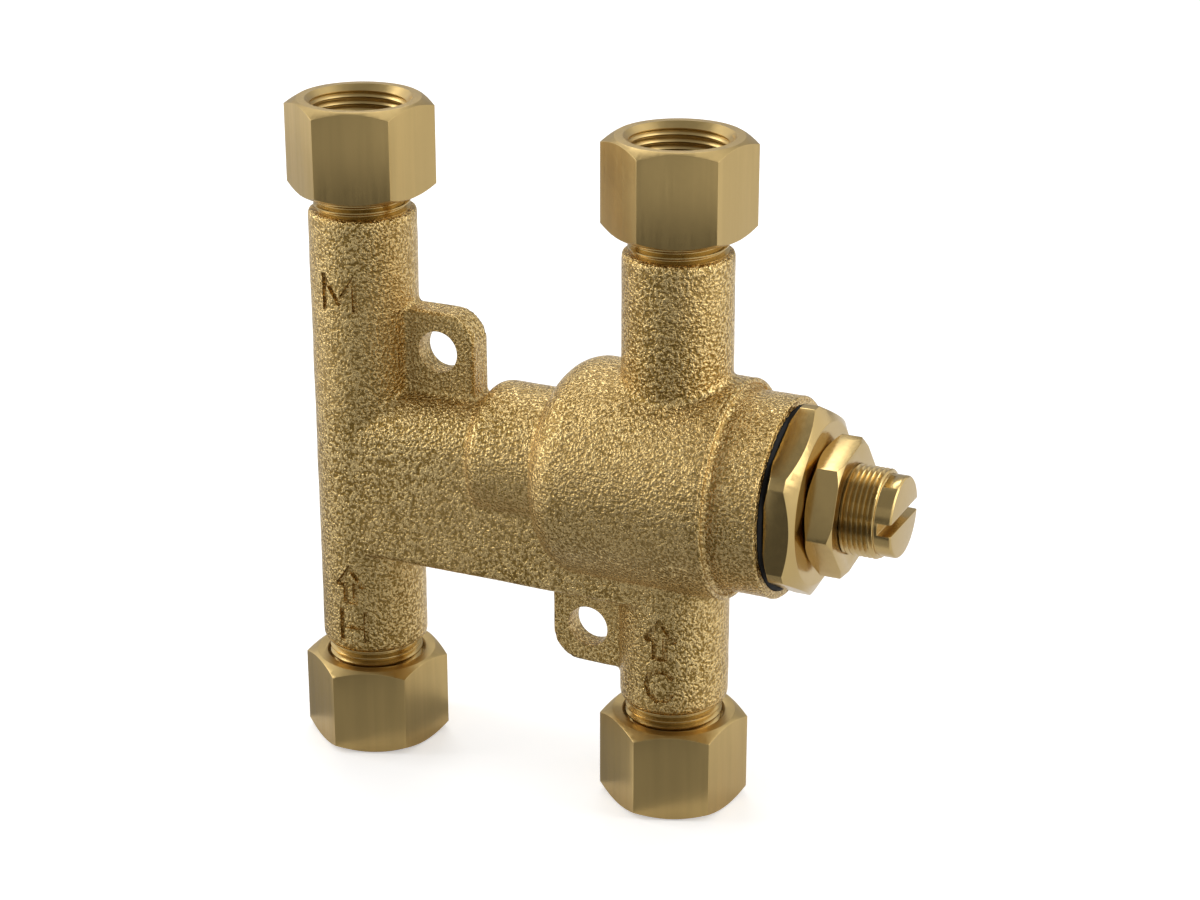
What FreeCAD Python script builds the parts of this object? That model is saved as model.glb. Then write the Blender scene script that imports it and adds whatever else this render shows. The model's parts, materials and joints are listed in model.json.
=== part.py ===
"""Four-port thermostatic mixing valve, with its inner parts in place.

Millimetres, +Z up. The pieces are built about the barrel axis, which runs along X at the middle
height of the two port columns, and are then moved so that the origin lies midway between the two
wall-fixing holes, on the columns' middle plane.
"""

import FreeCAD, Part

import math
import os

V = FreeCAD.Vector

# --- Port columns and stubs -----------------------------------------------------------------
PORT_X = 25.19            # port column axis, each side of the middle
COLUMN_R = 8.0            # cast column
COLUMN_TOP = 34.35        # cast column ends this far above and below the barrel axis
COLUMN_EDGE = 0.6         # broken edge where the casting stops
STUB_R = 7.144            # turned stub, 9/16-24 thread
STUB_LENGTH = 8.15
STUB_CHAMFER = 0.7
PORT_BORE_R = 4.8         # waterway

# --- Arm between the columns ------------------------------------------------------------------
ARM_STEP = 0.15           # how far the arm's sides lie inside the columns
ARM_WALL = 2.0            # under the hot water duct
ARM_BLEND_R = 2.0         # blend between arm and left column

# --- Barrel, chamber and collar, all about the barrel axis ------------------------------------
BARREL_LENGTH = 11.5
BARREL_R = 10.25
BARREL_WALL = 3.45
BARREL_EDGE_R = 2.0
CHAMBER_BEFORE = 18.19    # from the right column's axis to the chamber's left end
CHAMBER_FLAT = 0.05       # left between the column's blend and the rim's broken edge
CHAMBER_R = 16.1
CHAMBER_SHOULDER_R = 6.0  # rounded left shoulder of the chamber
CHAMBER_EDGE = 0.45       # broken edge of the rim
COLLAR_LENGTH = 7.8
COLLAR_R = 14.55
COLLAR_WALL = 2.55
COLLAR_CHAMFER = 0.3
COLUMN_BLEND_R = 1.5      # blend between chamber and the column above it
LOW_BLEND_R = 0.9         # blends under the chamber and along the arm

# --- Wall-fixing ears --------------------------------------------------------------------------
FIX_X = 12.1              # fixing holes, each side of the middle
FIX_Z = 19.8              # fixing holes, above and below their own middle
BARREL_HEIGHT = 5.5       # barrel axis above the middle of the fixing holes
FIX_HOLE_R = 3.17
EAR_THICKNESS = 5.0
EAR_MID_Y = 0.4
EAR_SIDE = 5.75           # hole centre to the ear's free side
EAR_END = 5.95            # hole centre to the ear's free end
EAR_CORNER_R = 4.5
EAR_EDGE = 0.4

# --- Waterways -----------------------------------------------------------------------------------
MIXED_DUCT_R = 4.5
MIXED_DUCT_Z = 1.0
HOT_DUCT_R = 3.6
HOT_DUCT_BELOW = 1.1      # duct axis below the hot ring's bottom
HOT_SEAT_SETBACK = 4.5    # hot seat from the chamber's left end
HOT_RING_WIDTH = 4.5
HOT_RING_R = 11.4         # hot water ring round the shuttle
LAND_WIDTH = 6.0
LAND_R = 9.5              # bore that the shuttle slides in
COLD_RING_WIDTH = 11.0
MIX_TAIL_LENGTH = 4.0     # narrow end of the mixing barrel, past the spring's step
SEAL_POCKET_DEPTH = 0.9   # recess at the collar's mouth for the bonnet seal

# --- Union nuts and washers ------------------------------------------------------------------
NUT_FLATS = 19.05
NUT_HEIGHT = 13.8
NUT_ENGAGEMENT = 5.55     # length of stub inside the nut
NUT_FACE_STEP = 0.425     # turned face circle inside the flats
NUT_TURN = 21.2           # how far the corners are turned from +X, degrees
NUT_MOUTH = 0.48          # countersink at both ends
NUT_CLEARANCE = 0.056     # nut bore round the stub
CORNER_SLOPE = 30.0       # turned corners of all hexagons, degrees
WASHER_GRIP = 0.6         # how far the washer reaches into the nut's groove
WASHER_THICKNESS = 1.5
WASHER_PLAY = 0.05        # in the nut's groove

# --- Inlet cartridges ------------------------------------------------------------------------
STUB_WALL = 1.544         # round the cartridge pocket
CARTRIDGE_FIT = 0.05
SCREEN_FLANGE = 0.8
SCREEN_STEP = 1.15        # flange's reach beyond the thimble
SCREEN_WALL = 0.5
SCREEN_LENGTH = 6.0
SCREEN_GAP = 1.2          # between thimble and check valve
SCREEN_SLOTS = 8
SCREEN_SLOT_WIDTH = 1.2
CAGE_LENGTH = 7.8
CAGE_WALL = 0.95
CAGE_PLATE = 1.2          # seat plate and spider
CAGE_SEAT_R = 3.0
CAGE_HUB_R = 2.7
CAGE_SPOKES = 3
CAGE_SPOKE_WIDTH = 1.2
POPPET_PLAY = 0.7         # round the poppet
POPPET_THICKNESS = 1.0
POPPET_STEM_R = 0.8
POPPET_STEM_FIT = 0.06
POPPET_STEM_LENGTH = 6.4
CHECK_WIRE_R = 0.25
CHECK_SPRING_TURNS = 4

# --- Bonnet ------------------------------------------------------------------------------------
SEAL_GAP = 0.6            # between collar and hexagon
BONNET_HEIGHT = 4.3
BONNET_FLATS = 25.4
BONNET_TURNED_R = 14.2
BONNET_TURN = 29.5        # degrees
BONNET_FRONT_STEP = 1.0   # front face circle inside the flats
BONNET_REAR_STEP = -0.45  # rear face circle, outside the flats
BONNET_FIT = 0.05
NOSE_WALL = 1.25
CUP_TRAVEL = 1.0          # room for the thrust cup and spindle at each end
STEM_BORE_LENGTH = 4.6
BONNET_SEAL_R = 0.66      # half the ring's thickness

# --- Spindle and lock nut ------------------------------------------------------------------------
CONTACT_PLAY = 0.05       # between faces that turn on each other
STEM_R = 5.0
STEM_FIT = 0.06
STEM_SEAL_R = 0.5
SEAL_PLAY = 0.02
SPINDLE_R = 6.45          # over the adjusting thread
SPINDLE_FIT = 0.05
SPINDLE_THREAD_SHOWN = 4.8
SPINDLE_TIP_STEP = 0.6
SPINDLE_TIP_LENGTH = 2.5
SPINDLE_CHAMFER = 0.25
SLOT_WIDTH = 1.8
SLOT_DEPTH = 2.0
LOCK_FLATS = 17.5
LOCK_HEIGHT = 4.45
LOCK_TURN = 50.9          # degrees
LOCK_FRONT_STEP = -0.4
LOCK_REAR_STEP = 0.3

# --- Thermostat --------------------------------------------------------------------------------
SHUTTLE_GAP = 1.6         # open width of the hot and of the cold seat
SHUTTLE_LENGTH = 12.0
SHUTTLE_FIT = 0.05
SHUTTLE_WALL = 1.85
SHUTTLE_SEAL_R = 0.45
HUB_SETBACK = 1.9
HUB_THICKNESS = 2.0
HUB_R = 5.6
HUB_SPOKES = 4
HUB_SPOKE_WIDTH = 2.2
FLANGE_THICKNESS = 2.5
FLANGE_PLAY = 0.9         # round the flange, in the mixing bore
BULB_LENGTH = 13.0
BULB_STEP = 1.9           # bulb inside the flange
BULB_EDGE_R = 1.2
NECK_R = 3.0
NECK_LENGTH = 7.0
RETURN_SPRING_LENGTH = 12.0
RETURN_WIRE_R = 0.5
RETURN_TURNS = 5
SPRING_OVERLAP = 0.3      # how far the step reaches in past the middle of the wire
CUP_SETBACK = 1.2
CUP_LENGTH = 7.0
CUP_FIT = 0.1
CUP_WALL = 1.2
CUP_BASE = 1.8
RING_SETBACK = 0.3        # snap ring from the cup's mouth
RING_THICKNESS = 0.7
RING_WIDTH = 1.9
RING_GROOVE = 0.4
RING_PLAY = 0.04
ROD_HEAD_PLAY = 0.4
ROD_HEAD_THICKNESS = 1.0
ROD_R = 1.4
ROD_GAP = 2.85            # wax space before the rod's end
ROD_FIT = 0.06
OVERLOAD_WIRE_R = 0.6
OVERLOAD_PLAY = 0.6
OVERLOAD_TURNS = 2

# --- Worked out from the above -------------------------------------------------------------------
SLACK = 0.01              # for picking edges by their place
SECTION_SIDES = 8         # of seals and spring wire, to keep them light
STUB_END = COLUMN_TOP + STUB_LENGTH
ARM_HALF_WIDTH = COLUMN_R - ARM_STEP
HOT_DUCT_Z = -HOT_RING_R - HOT_DUCT_BELOW
ARM_BOTTOM = HOT_DUCT_Z - HOT_DUCT_R - ARM_WALL
CHAMBER_START = PORT_X - CHAMBER_BEFORE
CHAMBER_END = PORT_X + COLUMN_R + COLUMN_BLEND_R + CHAMBER_FLAT + CHAMBER_EDGE
BARREL_START = CHAMBER_START - BARREL_LENGTH
COLLAR_END = CHAMBER_END + COLLAR_LENGTH
EAR_HEIGHT_UPPER = FIX_Z - BARREL_HEIGHT
EAR_HEIGHT_LOWER = -FIX_Z - BARREL_HEIGHT

MIX_BORE_R = BARREL_R - BARREL_WALL
HOT_SEAT = CHAMBER_START + HOT_SEAT_SETBACK
LAND_START = HOT_SEAT + HOT_RING_WIDTH
LAND_END = LAND_START + LAND_WIDTH
COLD_RING_R = COLLAR_R - COLLAR_WALL
COLD_RING_END = LAND_END + COLD_RING_WIDTH
SEAL_POCKET_R = COLD_RING_R + 2 * BONNET_SEAL_R + 2 * BONNET_FIT

NUT_BORE_R = STUB_R + NUT_CLEARANCE
NUT_INNER_END = STUB_END - NUT_ENGAGEMENT
WASHER_R = NUT_BORE_R + WASHER_GRIP
CARTRIDGE_R = STUB_R - STUB_WALL
CAGE_R = CARTRIDGE_R - CARTRIDGE_FIT
CAGE_BORE_R = CAGE_R - CAGE_WALL
CARTRIDGE_DEPTH = SCREEN_LENGTH + SCREEN_GAP + CAGE_LENGTH
SCREEN_R = CAGE_R - SCREEN_STEP
POPPET_R = CAGE_BORE_R - POPPET_PLAY
CHECK_SPRING_R = CAGE_HUB_R - CHECK_WIRE_R - CARTRIDGE_FIT

SHUTTLE_R = LAND_R - SHUTTLE_FIT
SHUTTLE_BORE_R = SHUTTLE_R - SHUTTLE_WALL
SHUTTLE_START = HOT_SEAT + SHUTTLE_GAP
SHUTTLE_END = SHUTTLE_START + SHUTTLE_LENGTH
SHUTTLE_SEAL_MID = (LAND_START + LAND_END) / 2
HUB_START = SHUTTLE_START + HUB_SETBACK
HUB_END = HUB_START + HUB_THICKNESS
FLANGE_START = HUB_START - FLANGE_THICKNESS
FLANGE_R = MIX_BORE_R - FLANGE_PLAY
BULB_START = FLANGE_START - BULB_LENGTH
BULB_R = FLANGE_R - BULB_STEP
NECK_END = HUB_START + NECK_LENGTH
WELL_START = (FLANGE_START + HUB_START) / 2
ROD_START = WELL_START + ROD_GAP
SPRING_STEP = FLANGE_START - RETURN_SPRING_LENGTH
RETURN_SPRING_R = FLANGE_R - RETURN_WIRE_R - WASHER_PLAY
MIX_TAIL_R = RETURN_SPRING_R - SPRING_OVERLAP
MIX_TAIL_START = SPRING_STEP - MIX_TAIL_LENGTH

NOSE_START = SHUTTLE_END + SHUTTLE_GAP
NOSE_R = SHUTTLE_R
CUP_BORE_R = NOSE_R - NOSE_WALL
CUP_START = NOSE_START + CUP_SETBACK
CUP_END = CUP_START + CUP_LENGTH
CUP_R = CUP_BORE_R - CUP_FIT
CUP_HOLE_R = CUP_R - CUP_WALL
CUP_BORE_END = CUP_END + CUP_TRAVEL
RING_START = CUP_START + RING_SETBACK
RING_HOLE_R = CUP_HOLE_R + RING_GROOVE - RING_WIDTH
ROD_HEAD_START = RING_START + RING_THICKNESS
ROD_HEAD_R = CUP_HOLE_R - ROD_HEAD_PLAY
OVERLOAD_SPRING_R = CUP_HOLE_R - OVERLOAD_WIRE_R - OVERLOAD_PLAY

BONNET_SEAT = COLLAR_END + SEAL_GAP
BONNET_FRONT = BONNET_SEAT + BONNET_HEIGHT
STEM_BORE_R = STEM_R + STEM_FIT
STEM_BORE_END = CUP_BORE_END + STEM_BORE_LENGTH
STEM_SEAL_MID = (CUP_BORE_END + STEM_BORE_END) / 2
SPINDLE_START = CUP_END + CONTACT_PLAY
STEM_END = STEM_BORE_END + CUP_TRAVEL
SPINDLE_BORE_R = SPINDLE_R + SPINDLE_FIT
LOCK_START = BONNET_FRONT + CONTACT_PLAY
LOCK_END = LOCK_START + LOCK_HEIGHT
SPINDLE_THREAD_END = LOCK_END + SPINDLE_THREAD_SHOWN
SPINDLE_TIP_R = SPINDLE_R - SPINDLE_TIP_STEP
SPINDLE_END = SPINDLE_THREAD_END + SPINDLE_TIP_LENGTH


# --- Tools ---------------------------------------------------------------------------------------
def turned(outline, axis):
    """A solid of revolution from (along, radius) points about the X or the Z axis."""
    if axis == "x":
        points = [V(along, 0, radius) for along, radius in outline]
        direction = V(1, 0, 0)
    else:
        points = [V(radius, 0, along) for along, radius in outline]
        direction = V(0, 0, 1)
    face = Part.Face(Part.makePolygon(points + points[:1]))
    return face.revolve(V(0, 0, 0), direction, 360)


def tube(start, end, outer_r, inner_r, axis):
    """A plain ring, bush or tube."""
    return turned([(start, inner_r), (end, inner_r), (end, outer_r), (start, outer_r)], axis)


def rod(start, end, radius, axis):
    """A plain round bar."""
    return turned([(start, 0), (end, 0), (end, radius), (start, radius)], axis)


def round_section(half_thickness, sides):
    """Corners of a regular polygon that stands for a round section, with flats on all four sides."""
    corner_r = half_thickness / math.cos(math.pi / sides)
    angles = [math.pi * (2 * index + 1) / sides for index in range(sides)]
    return [(corner_r * math.cos(angle), corner_r * math.sin(angle)) for angle in angles]


def ring_seal(middle, centre_r, half_thickness):
    """A ring seal about the barrel axis."""
    section = round_section(half_thickness, SECTION_SIDES)
    return turned([(middle + along, centre_r + out) for along, out in section], "x")


def slope_drop(radius, face_r):
    """How far a turned corner at this radius lies below the face."""
    return (radius - face_r) * math.tan(math.radians(CORNER_SLOPE))


def turned_hexagon(start, end, flats, turned_r, start_step, end_step, turn, axis):
    """A hexagon bar whose corners are turned back at both ends, on the X or the Z axis.

    A step is how far the end's face circle lies inside the flats.
    """
    corner_r = flats / math.sqrt(3)
    start_face_r = flats / 2 - start_step
    end_face_r = flats / 2 - end_step
    points = []
    for corner in range(6):
        angle = math.radians(turn + 60 * corner)
        if axis == "x":
            points.append(V(start, -corner_r * math.cos(angle), corner_r * math.sin(angle)))
        else:
            points.append(V(corner_r * math.cos(angle), corner_r * math.sin(angle), start))
    direction = V(1, 0, 0) if axis == "x" else V(0, 0, 1)
    bar = Part.Face(Part.makePolygon(points + points[:1])).extrude(direction * (end - start))
    start_drop = slope_drop(turned_r, start_face_r)
    end_drop = slope_drop(turned_r, end_face_r)
    blank = turned([(start, 0), (start, start_face_r), (start + start_drop, turned_r),
                    (end - end_drop, turned_r), (end, end_face_r), (end, 0)], axis)
    return bar.common(blank)


def coil_spring(start, end, mean_r, wire_r, turns, axis):
    """A compression spring of round wire, from one seat to the other."""
    height = end - start - 2 * wire_r
    helix = Part.makeHelix(height / turns, height, mean_r)
    corners = [V(mean_r + out, 0, up) for up, out in round_section(wire_r, SECTION_SIDES)]
    section = Part.makePolygon(corners + corners[:1])
    spring = Part.Wire(helix).makePipeShell([section], True, True)
    spring.translate(V(0, 0, start + wire_r))
    if axis == "x":
        spring.rotate(V(0, 0, 0), V(0, 1, 0), 90)
    return spring


def spokes(count, width, inner_r, outer_r, start, end, axis):
    """Straight spokes between two radii."""
    bars = []
    for index in range(count):
        if axis == "x":
            bar = Part.makeBox(end - start, width, outer_r - inner_r, V(start, -width / 2, inner_r))
            direction = V(1, 0, 0)
        else:
            bar = Part.makeBox(outer_r - inner_r, width, end - start, V(inner_r, -width / 2, start))
            direction = V(0, 0, 1)
        bar.rotate(V(0, 0, 0), direction, 360.0 * index / count)
        bars.append(bar)
    return bars


def one_solid(shape):
    """The single clean solid of a shape made by joining and cutting."""
    return shape.removeSplitter().Solids[0]


def edges_where(shape, test):
    """The edges of a shape whose middle point passes a test."""
    chosen = []
    for edge in shape.Edges:
        middle = edge.valueAt((edge.FirstParameter + edge.LastParameter) / 2)
        if test(edge, middle):
            chosen.append(edge)
    return chosen


def edges_within(shape, x_range, z_range):
    """The edges of a shape that lie wholly inside a range of X and of Z."""
    chosen = []
    for edge in shape.Edges:
        box = edge.BoundBox
        inside_x = x_range[0] - SLACK < box.XMin and box.XMax < x_range[1] + SLACK
        inside_z = z_range[0] - SLACK < box.ZMin and box.ZMax < z_range[1] + SLACK
        if inside_x and inside_z:
            chosen.append(edge)
    return chosen


# --- Valve body ------------------------------------------------------------------------------------
def barrel_blank():
    """Barrel, chamber and collar, turned about the barrel axis, with rounded cast edges."""
    def arc(start, middle, end):
        return Part.Arc(V(start[0], 0, start[1]), V(middle[0], 0, middle[1]), V(end[0], 0, end[1])).toShape()

    def line(start, end):
        return Part.makeLine(V(start[0], 0, start[1]), V(end[0], 0, end[1]))

    diagonal = 1 - math.sqrt(0.5)
    edge, shoulder = BARREL_EDGE_R, CHAMBER_SHOULDER_R
    barrel_low = (BARREL_START, BARREL_R - edge)
    barrel_high = (BARREL_START + edge, BARREL_R)
    barrel_mid = (BARREL_START + edge * diagonal, BARREL_R - edge * diagonal)
    shoulder_low = (CHAMBER_START, CHAMBER_R - shoulder)
    shoulder_high = (CHAMBER_START + shoulder, CHAMBER_R)
    shoulder_mid = (CHAMBER_START + shoulder * diagonal, CHAMBER_R - shoulder * diagonal)
    rim_start = (CHAMBER_END - CHAMBER_EDGE, CHAMBER_R)
    rim_end = (CHAMBER_END, CHAMBER_R - CHAMBER_EDGE)
    barrel = Part.Wire([line((BARREL_START, 0), barrel_low), arc(barrel_low, barrel_mid, barrel_high),
                        line(barrel_high, (CHAMBER_START + shoulder, BARREL_R)),
                        line((CHAMBER_START + shoulder, BARREL_R), (CHAMBER_START + shoulder, 0)),
                        line((CHAMBER_START + shoulder, 0), (BARREL_START, 0))])
    collar_edge = (COLLAR_END - COLLAR_CHAMFER, COLLAR_R)
    collar_face = (COLLAR_END, COLLAR_R - COLLAR_CHAMFER)
    chamber = Part.Wire([line((CHAMBER_START, 0), shoulder_low),
                         arc(shoulder_low, shoulder_mid, shoulder_high),
                         line(shoulder_high, rim_start), line(rim_start, rim_end),
                         line(rim_end, (CHAMBER_END, COLLAR_R)), line((CHAMBER_END, COLLAR_R), collar_edge),
                         line(collar_edge, collar_face), line(collar_face, (COLLAR_END, 0)),
                         line((COLLAR_END, 0), (CHAMBER_START, 0))])
    solids = [Part.Face(wire).revolve(V(0, 0, 0), V(1, 0, 0), 360) for wire in (barrel, chamber)]
    return solids[0].fuse(solids[1])


def column(x):
    """One cast port column with its turned stubs, top and bottom."""
    def is_round(edge, p):
        return edge.Curve.TypeId == "Part::GeomCircle"

    cast = rod(-COLUMN_TOP, COLUMN_TOP, COLUMN_R, "z")
    cast = cast.makeChamfer(COLUMN_EDGE, edges_where(cast, is_round))
    stub = rod(-STUB_END, STUB_END, STUB_R, "z")
    stub = stub.makeChamfer(STUB_CHAMFER, edges_where(stub, is_round))
    whole = cast.fuse(stub)
    whole.translate(V(x, 0, 0))
    return whole


def arm():
    """Arm between the columns: flat sides and bottom, round top."""
    half = ARM_HALF_WIDTH
    section = Part.Wire([Part.makeLine(V(0, -half, ARM_BOTTOM), V(0, half, ARM_BOTTOM)),
                         Part.makeLine(V(0, half, ARM_BOTTOM), V(0, half, 0)),
                         Part.Arc(V(0, half, 0), V(0, 0, half), V(0, -half, 0)).toShape(),
                         Part.makeLine(V(0, -half, 0), V(0, -half, ARM_BOTTOM))])
    solid = Part.Face(section).extrude(V(2 * PORT_X, 0, 0))
    solid.translate(V(-PORT_X, 0, 0))
    return solid


def ear(side):
    """One wall-fixing ear: +1 is the lower right one, -1 the upper left one."""
    hole_z = EAR_HEIGHT_LOWER if side > 0 else EAR_HEIGHT_UPPER
    free_x = side * (FIX_X - EAR_SIDE)
    free_z = hole_z - side * EAR_END
    root_x = side * PORT_X
    root_z = 0
    low_x, high_x = sorted((free_x, root_x))
    low_z, high_z = sorted((free_z, root_z))
    low_y = EAR_MID_Y - EAR_THICKNESS / 2
    plate = Part.makeBox(high_x - low_x, EAR_THICKNESS, high_z - low_z, V(low_x, low_y, low_z))
    corner = edges_where(plate, lambda edge, p: abs(p.x - free_x) < SLACK and abs(p.z - free_z) < SLACK)
    plate = plate.makeFillet(EAR_CORNER_R, corner)

    def on_free_outline(edge, p):
        on_face = abs(abs(p.y - EAR_MID_Y) - EAR_THICKNESS / 2) < SLACK
        return on_face and abs(p.x - root_x) > SLACK and abs(p.z - root_z) > SLACK

    return plate.makeChamfer(EAR_EDGE, edges_where(plate, on_free_outline))


def ear_holes():
    """The two wall-fixing holes."""
    holes = []
    for x, z in ((-FIX_X, EAR_HEIGHT_UPPER), (FIX_X, EAR_HEIGHT_LOWER)):
        start = V(x, EAR_MID_Y - EAR_THICKNESS, z)
        holes.append(Part.makeCylinder(FIX_HOLE_R, 2 * EAR_THICKNESS, start, V(0, 1, 0)))
    return holes


def waterways():
    """Everything that is bored or cored out of the casting."""
    main = turned([(MIX_TAIL_START, 0), (MIX_TAIL_START, MIX_TAIL_R), (SPRING_STEP, MIX_TAIL_R),
                   (SPRING_STEP, MIX_BORE_R), (HOT_SEAT, MIX_BORE_R), (HOT_SEAT, HOT_RING_R),
                   (LAND_START, HOT_RING_R), (LAND_START, LAND_R), (LAND_END, LAND_R),
                   (LAND_END, COLD_RING_R), (COLLAR_END - SEAL_POCKET_DEPTH, COLD_RING_R),
                   (COLLAR_END - SEAL_POCKET_DEPTH, SEAL_POCKET_R), (COLLAR_END, SEAL_POCKET_R),
                   (COLLAR_END, 0)], "x")
    mixed = Part.makeCylinder(MIXED_DUCT_R, PORT_X, V(-PORT_X, 0, MIXED_DUCT_Z), V(1, 0, 0))
    hot_length = PORT_X + (HOT_SEAT + LAND_START) / 2
    hot = Part.makeCylinder(HOT_DUCT_R, hot_length, V(-PORT_X, 0, HOT_DUCT_Z), V(1, 0, 0))
    mixed_floor = MIXED_DUCT_Z - MIXED_DUCT_R
    hot_roof = HOT_DUCT_Z + HOT_DUCT_R
    mixed_port = Part.makeCylinder(PORT_BORE_R, STUB_END - mixed_floor, V(-PORT_X, 0, mixed_floor))
    hot_port = Part.makeCylinder(PORT_BORE_R, STUB_END + hot_roof, V(-PORT_X, 0, -STUB_END))
    cold_port = Part.makeCylinder(PORT_BORE_R, 2 * STUB_END, V(PORT_X, 0, -STUB_END))
    pockets = [Part.makeCylinder(CARTRIDGE_R, CARTRIDGE_DEPTH, V(x, 0, -STUB_END)) for x in (-PORT_X, PORT_X)]
    return [main, mixed, hot, mixed_port, hot_port, cold_port] + pockets


def blended(casting):
    """The casting with soft blends where its columns, arm and chamber meet."""
    flat_start = math.sqrt(COLUMN_R ** 2 - ARM_HALF_WIDTH ** 2)
    chamber_root = math.sqrt(CHAMBER_R ** 2 - COLUMN_R ** 2)
    arm_front = math.sqrt(BARREL_R ** 2 - ARM_HALF_WIDTH ** 2)
    arm_root = edges_within(casting, (-PORT_X + flat_start, -PORT_X + COLUMN_R), (ARM_BOTTOM, ARM_HALF_WIDTH))
    casting = casting.makeFillet(ARM_BLEND_R, arm_root)
    above = edges_within(casting, (PORT_X - COLUMN_R, PORT_X + COLUMN_R), (chamber_root, CHAMBER_R))
    above = [edge for edge in above if edge.Curve.TypeId == "Part::GeomBSplineCurve"]
    casting = casting.makeFillet(COLUMN_BLEND_R, above)
    below = edges_within(casting, (PORT_X - COLUMN_R, PORT_X + COLUMN_R), (ARM_BOTTOM, -chamber_root))
    along = edges_within(casting, (CHAMBER_START, PORT_X - flat_start), (-CHAMBER_R, -arm_front))
    along = [edge for edge in along if abs(abs(edge.CenterOfMass.y) - ARM_HALF_WIDTH) < SLACK]
    return casting.makeFillet(LOW_BLEND_R, below + along)


def valve_body():
    """The brass casting."""
    blank = barrel_blank().multiFuse([column(-PORT_X), column(PORT_X), arm()]).removeSplitter()
    blank = blended(blank).multiFuse([ear(-1), ear(1)]).removeSplitter()
    return one_solid(blank.cut(waterways() + ear_holes()))


# --- Union nuts and what is in them ------------------------------------------------------------
def union_nut():
    """One hexagon union nut on the upward stub, with a groove for its captive washer."""
    outer_end = NUT_INNER_END + NUT_HEIGHT
    corner_r = NUT_FLATS / math.sqrt(3)
    blank = turned_hexagon(NUT_INNER_END, outer_end, NUT_FLATS, corner_r, NUT_FACE_STEP, NUT_FACE_STEP,
                           NUT_TURN, "z")
    mouth_r = NUT_BORE_R + NUT_MOUTH
    groove_r = WASHER_R + WASHER_PLAY
    groove_start = STUB_END - WASHER_PLAY
    groove_end = STUB_END + WASHER_THICKNESS + WASHER_PLAY
    bore = turned([(NUT_INNER_END, 0), (NUT_INNER_END, mouth_r), (NUT_INNER_END + NUT_MOUTH, NUT_BORE_R),
                   (groove_start, NUT_BORE_R), (groove_start, groove_r), (groove_end, groove_r),
                   (groove_end, NUT_BORE_R), (outer_end - NUT_MOUTH, NUT_BORE_R), (outer_end, mouth_r),
                   (outer_end, 0)], "z")
    return blank.cut(bore)


def washer():
    """One flat sealing washer on the upward stub's end."""
    return tube(STUB_END, STUB_END + WASHER_THICKNESS, WASHER_R, PORT_BORE_R, "z")


# --- Inlet cartridges, built with the mouth of the stub at z = 0 and the flow upward -------------
def inlet_screen():
    """Thimble-shaped inlet filter, hung by its flange inside the stub's mouth."""
    inner_r = SCREEN_R - SCREEN_WALL
    thimble = turned([(0, inner_r), (0, CAGE_R), (SCREEN_FLANGE, CAGE_R), (SCREEN_FLANGE, SCREEN_R),
                      (SCREEN_LENGTH, SCREEN_R), (SCREEN_LENGTH, 0), (SCREEN_LENGTH - SCREEN_WALL, 0),
                      (SCREEN_LENGTH - SCREEN_WALL, inner_r)], "z")
    slot_start = SCREEN_FLANGE + SCREEN_WALL
    slot_end = SCREEN_LENGTH - 2 * SCREEN_WALL
    slots = spokes(SCREEN_SLOTS, SCREEN_SLOT_WIDTH, inner_r / 2, CAGE_R, slot_start, slot_end, "z")
    return thimble.cut(slots)


def check_cage():
    """Body of the check valve: seat plate, wall, and a spider that guides the poppet's stem."""
    start = CARTRIDGE_DEPTH - CAGE_LENGTH
    end = CARTRIDGE_DEPTH
    wall = turned([(start, CAGE_SEAT_R), (start, CAGE_R), (end, CAGE_R), (end, CAGE_BORE_R),
                   (start + CAGE_PLATE, CAGE_BORE_R), (start + CAGE_PLATE, CAGE_SEAT_R)], "z")
    hub_hole_r = POPPET_STEM_R + POPPET_STEM_FIT
    hub = tube(end - CAGE_PLATE, end, CAGE_HUB_R, hub_hole_r, "z")
    middle_r = (hub_hole_r + CAGE_HUB_R) / 2
    wall_r = (CAGE_R + CAGE_BORE_R) / 2
    legs = spokes(CAGE_SPOKES, CAGE_SPOKE_WIDTH, middle_r, wall_r, end - CAGE_PLATE, end, "z")
    hole = rod(start, end + CAGE_PLATE, hub_hole_r, "z")
    return one_solid(wall.multiFuse([hub] + legs).cut(hole))


def check_poppet():
    """Poppet that lies on the seat plate, with its guide stem."""
    seat = CARTRIDGE_DEPTH - CAGE_LENGTH + CAGE_PLATE
    disc_end = seat + POPPET_THICKNESS
    stem_end = disc_end + POPPET_STEM_LENGTH
    return turned([(seat, 0), (seat, POPPET_R), (disc_end, POPPET_R), (disc_end, POPPET_STEM_R),
                   (stem_end, POPPET_STEM_R), (stem_end, 0)], "z")


def check_spring():
    """Light spring between the poppet and the spider."""
    start = CARTRIDGE_DEPTH - CAGE_LENGTH + CAGE_PLATE + POPPET_THICKNESS
    end = CARTRIDGE_DEPTH - CAGE_PLATE
    return coil_spring(start, end, CHECK_SPRING_R, CHECK_WIRE_R, CHECK_SPRING_TURNS, "z")


# --- Bonnet, spindle and lock nut --------------------------------------------------------------
def bonnet():
    """Hexagon cap with its threaded shank and the nose that forms the cold seat."""
    head = turned_hexagon(BONNET_SEAT, BONNET_FRONT, BONNET_FLATS, BONNET_TURNED_R,
                          BONNET_REAR_STEP, BONNET_FRONT_STEP, BONNET_TURN, "x")
    shank = rod(COLD_RING_END, BONNET_SEAT, COLD_RING_R - BONNET_FIT, "x")
    nose = rod(NOSE_START, COLD_RING_END, NOSE_R, "x")
    bore = turned([(NOSE_START, 0), (NOSE_START, CUP_BORE_R), (CUP_BORE_END, CUP_BORE_R),
                   (CUP_BORE_END, STEM_BORE_R), (STEM_BORE_END, STEM_BORE_R),
                   (STEM_BORE_END, SPINDLE_BORE_R), (BONNET_FRONT, SPINDLE_BORE_R), (BONNET_FRONT, 0)], "x")
    return one_solid(head.multiFuse([shank, nose]).cut(bore))


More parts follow.
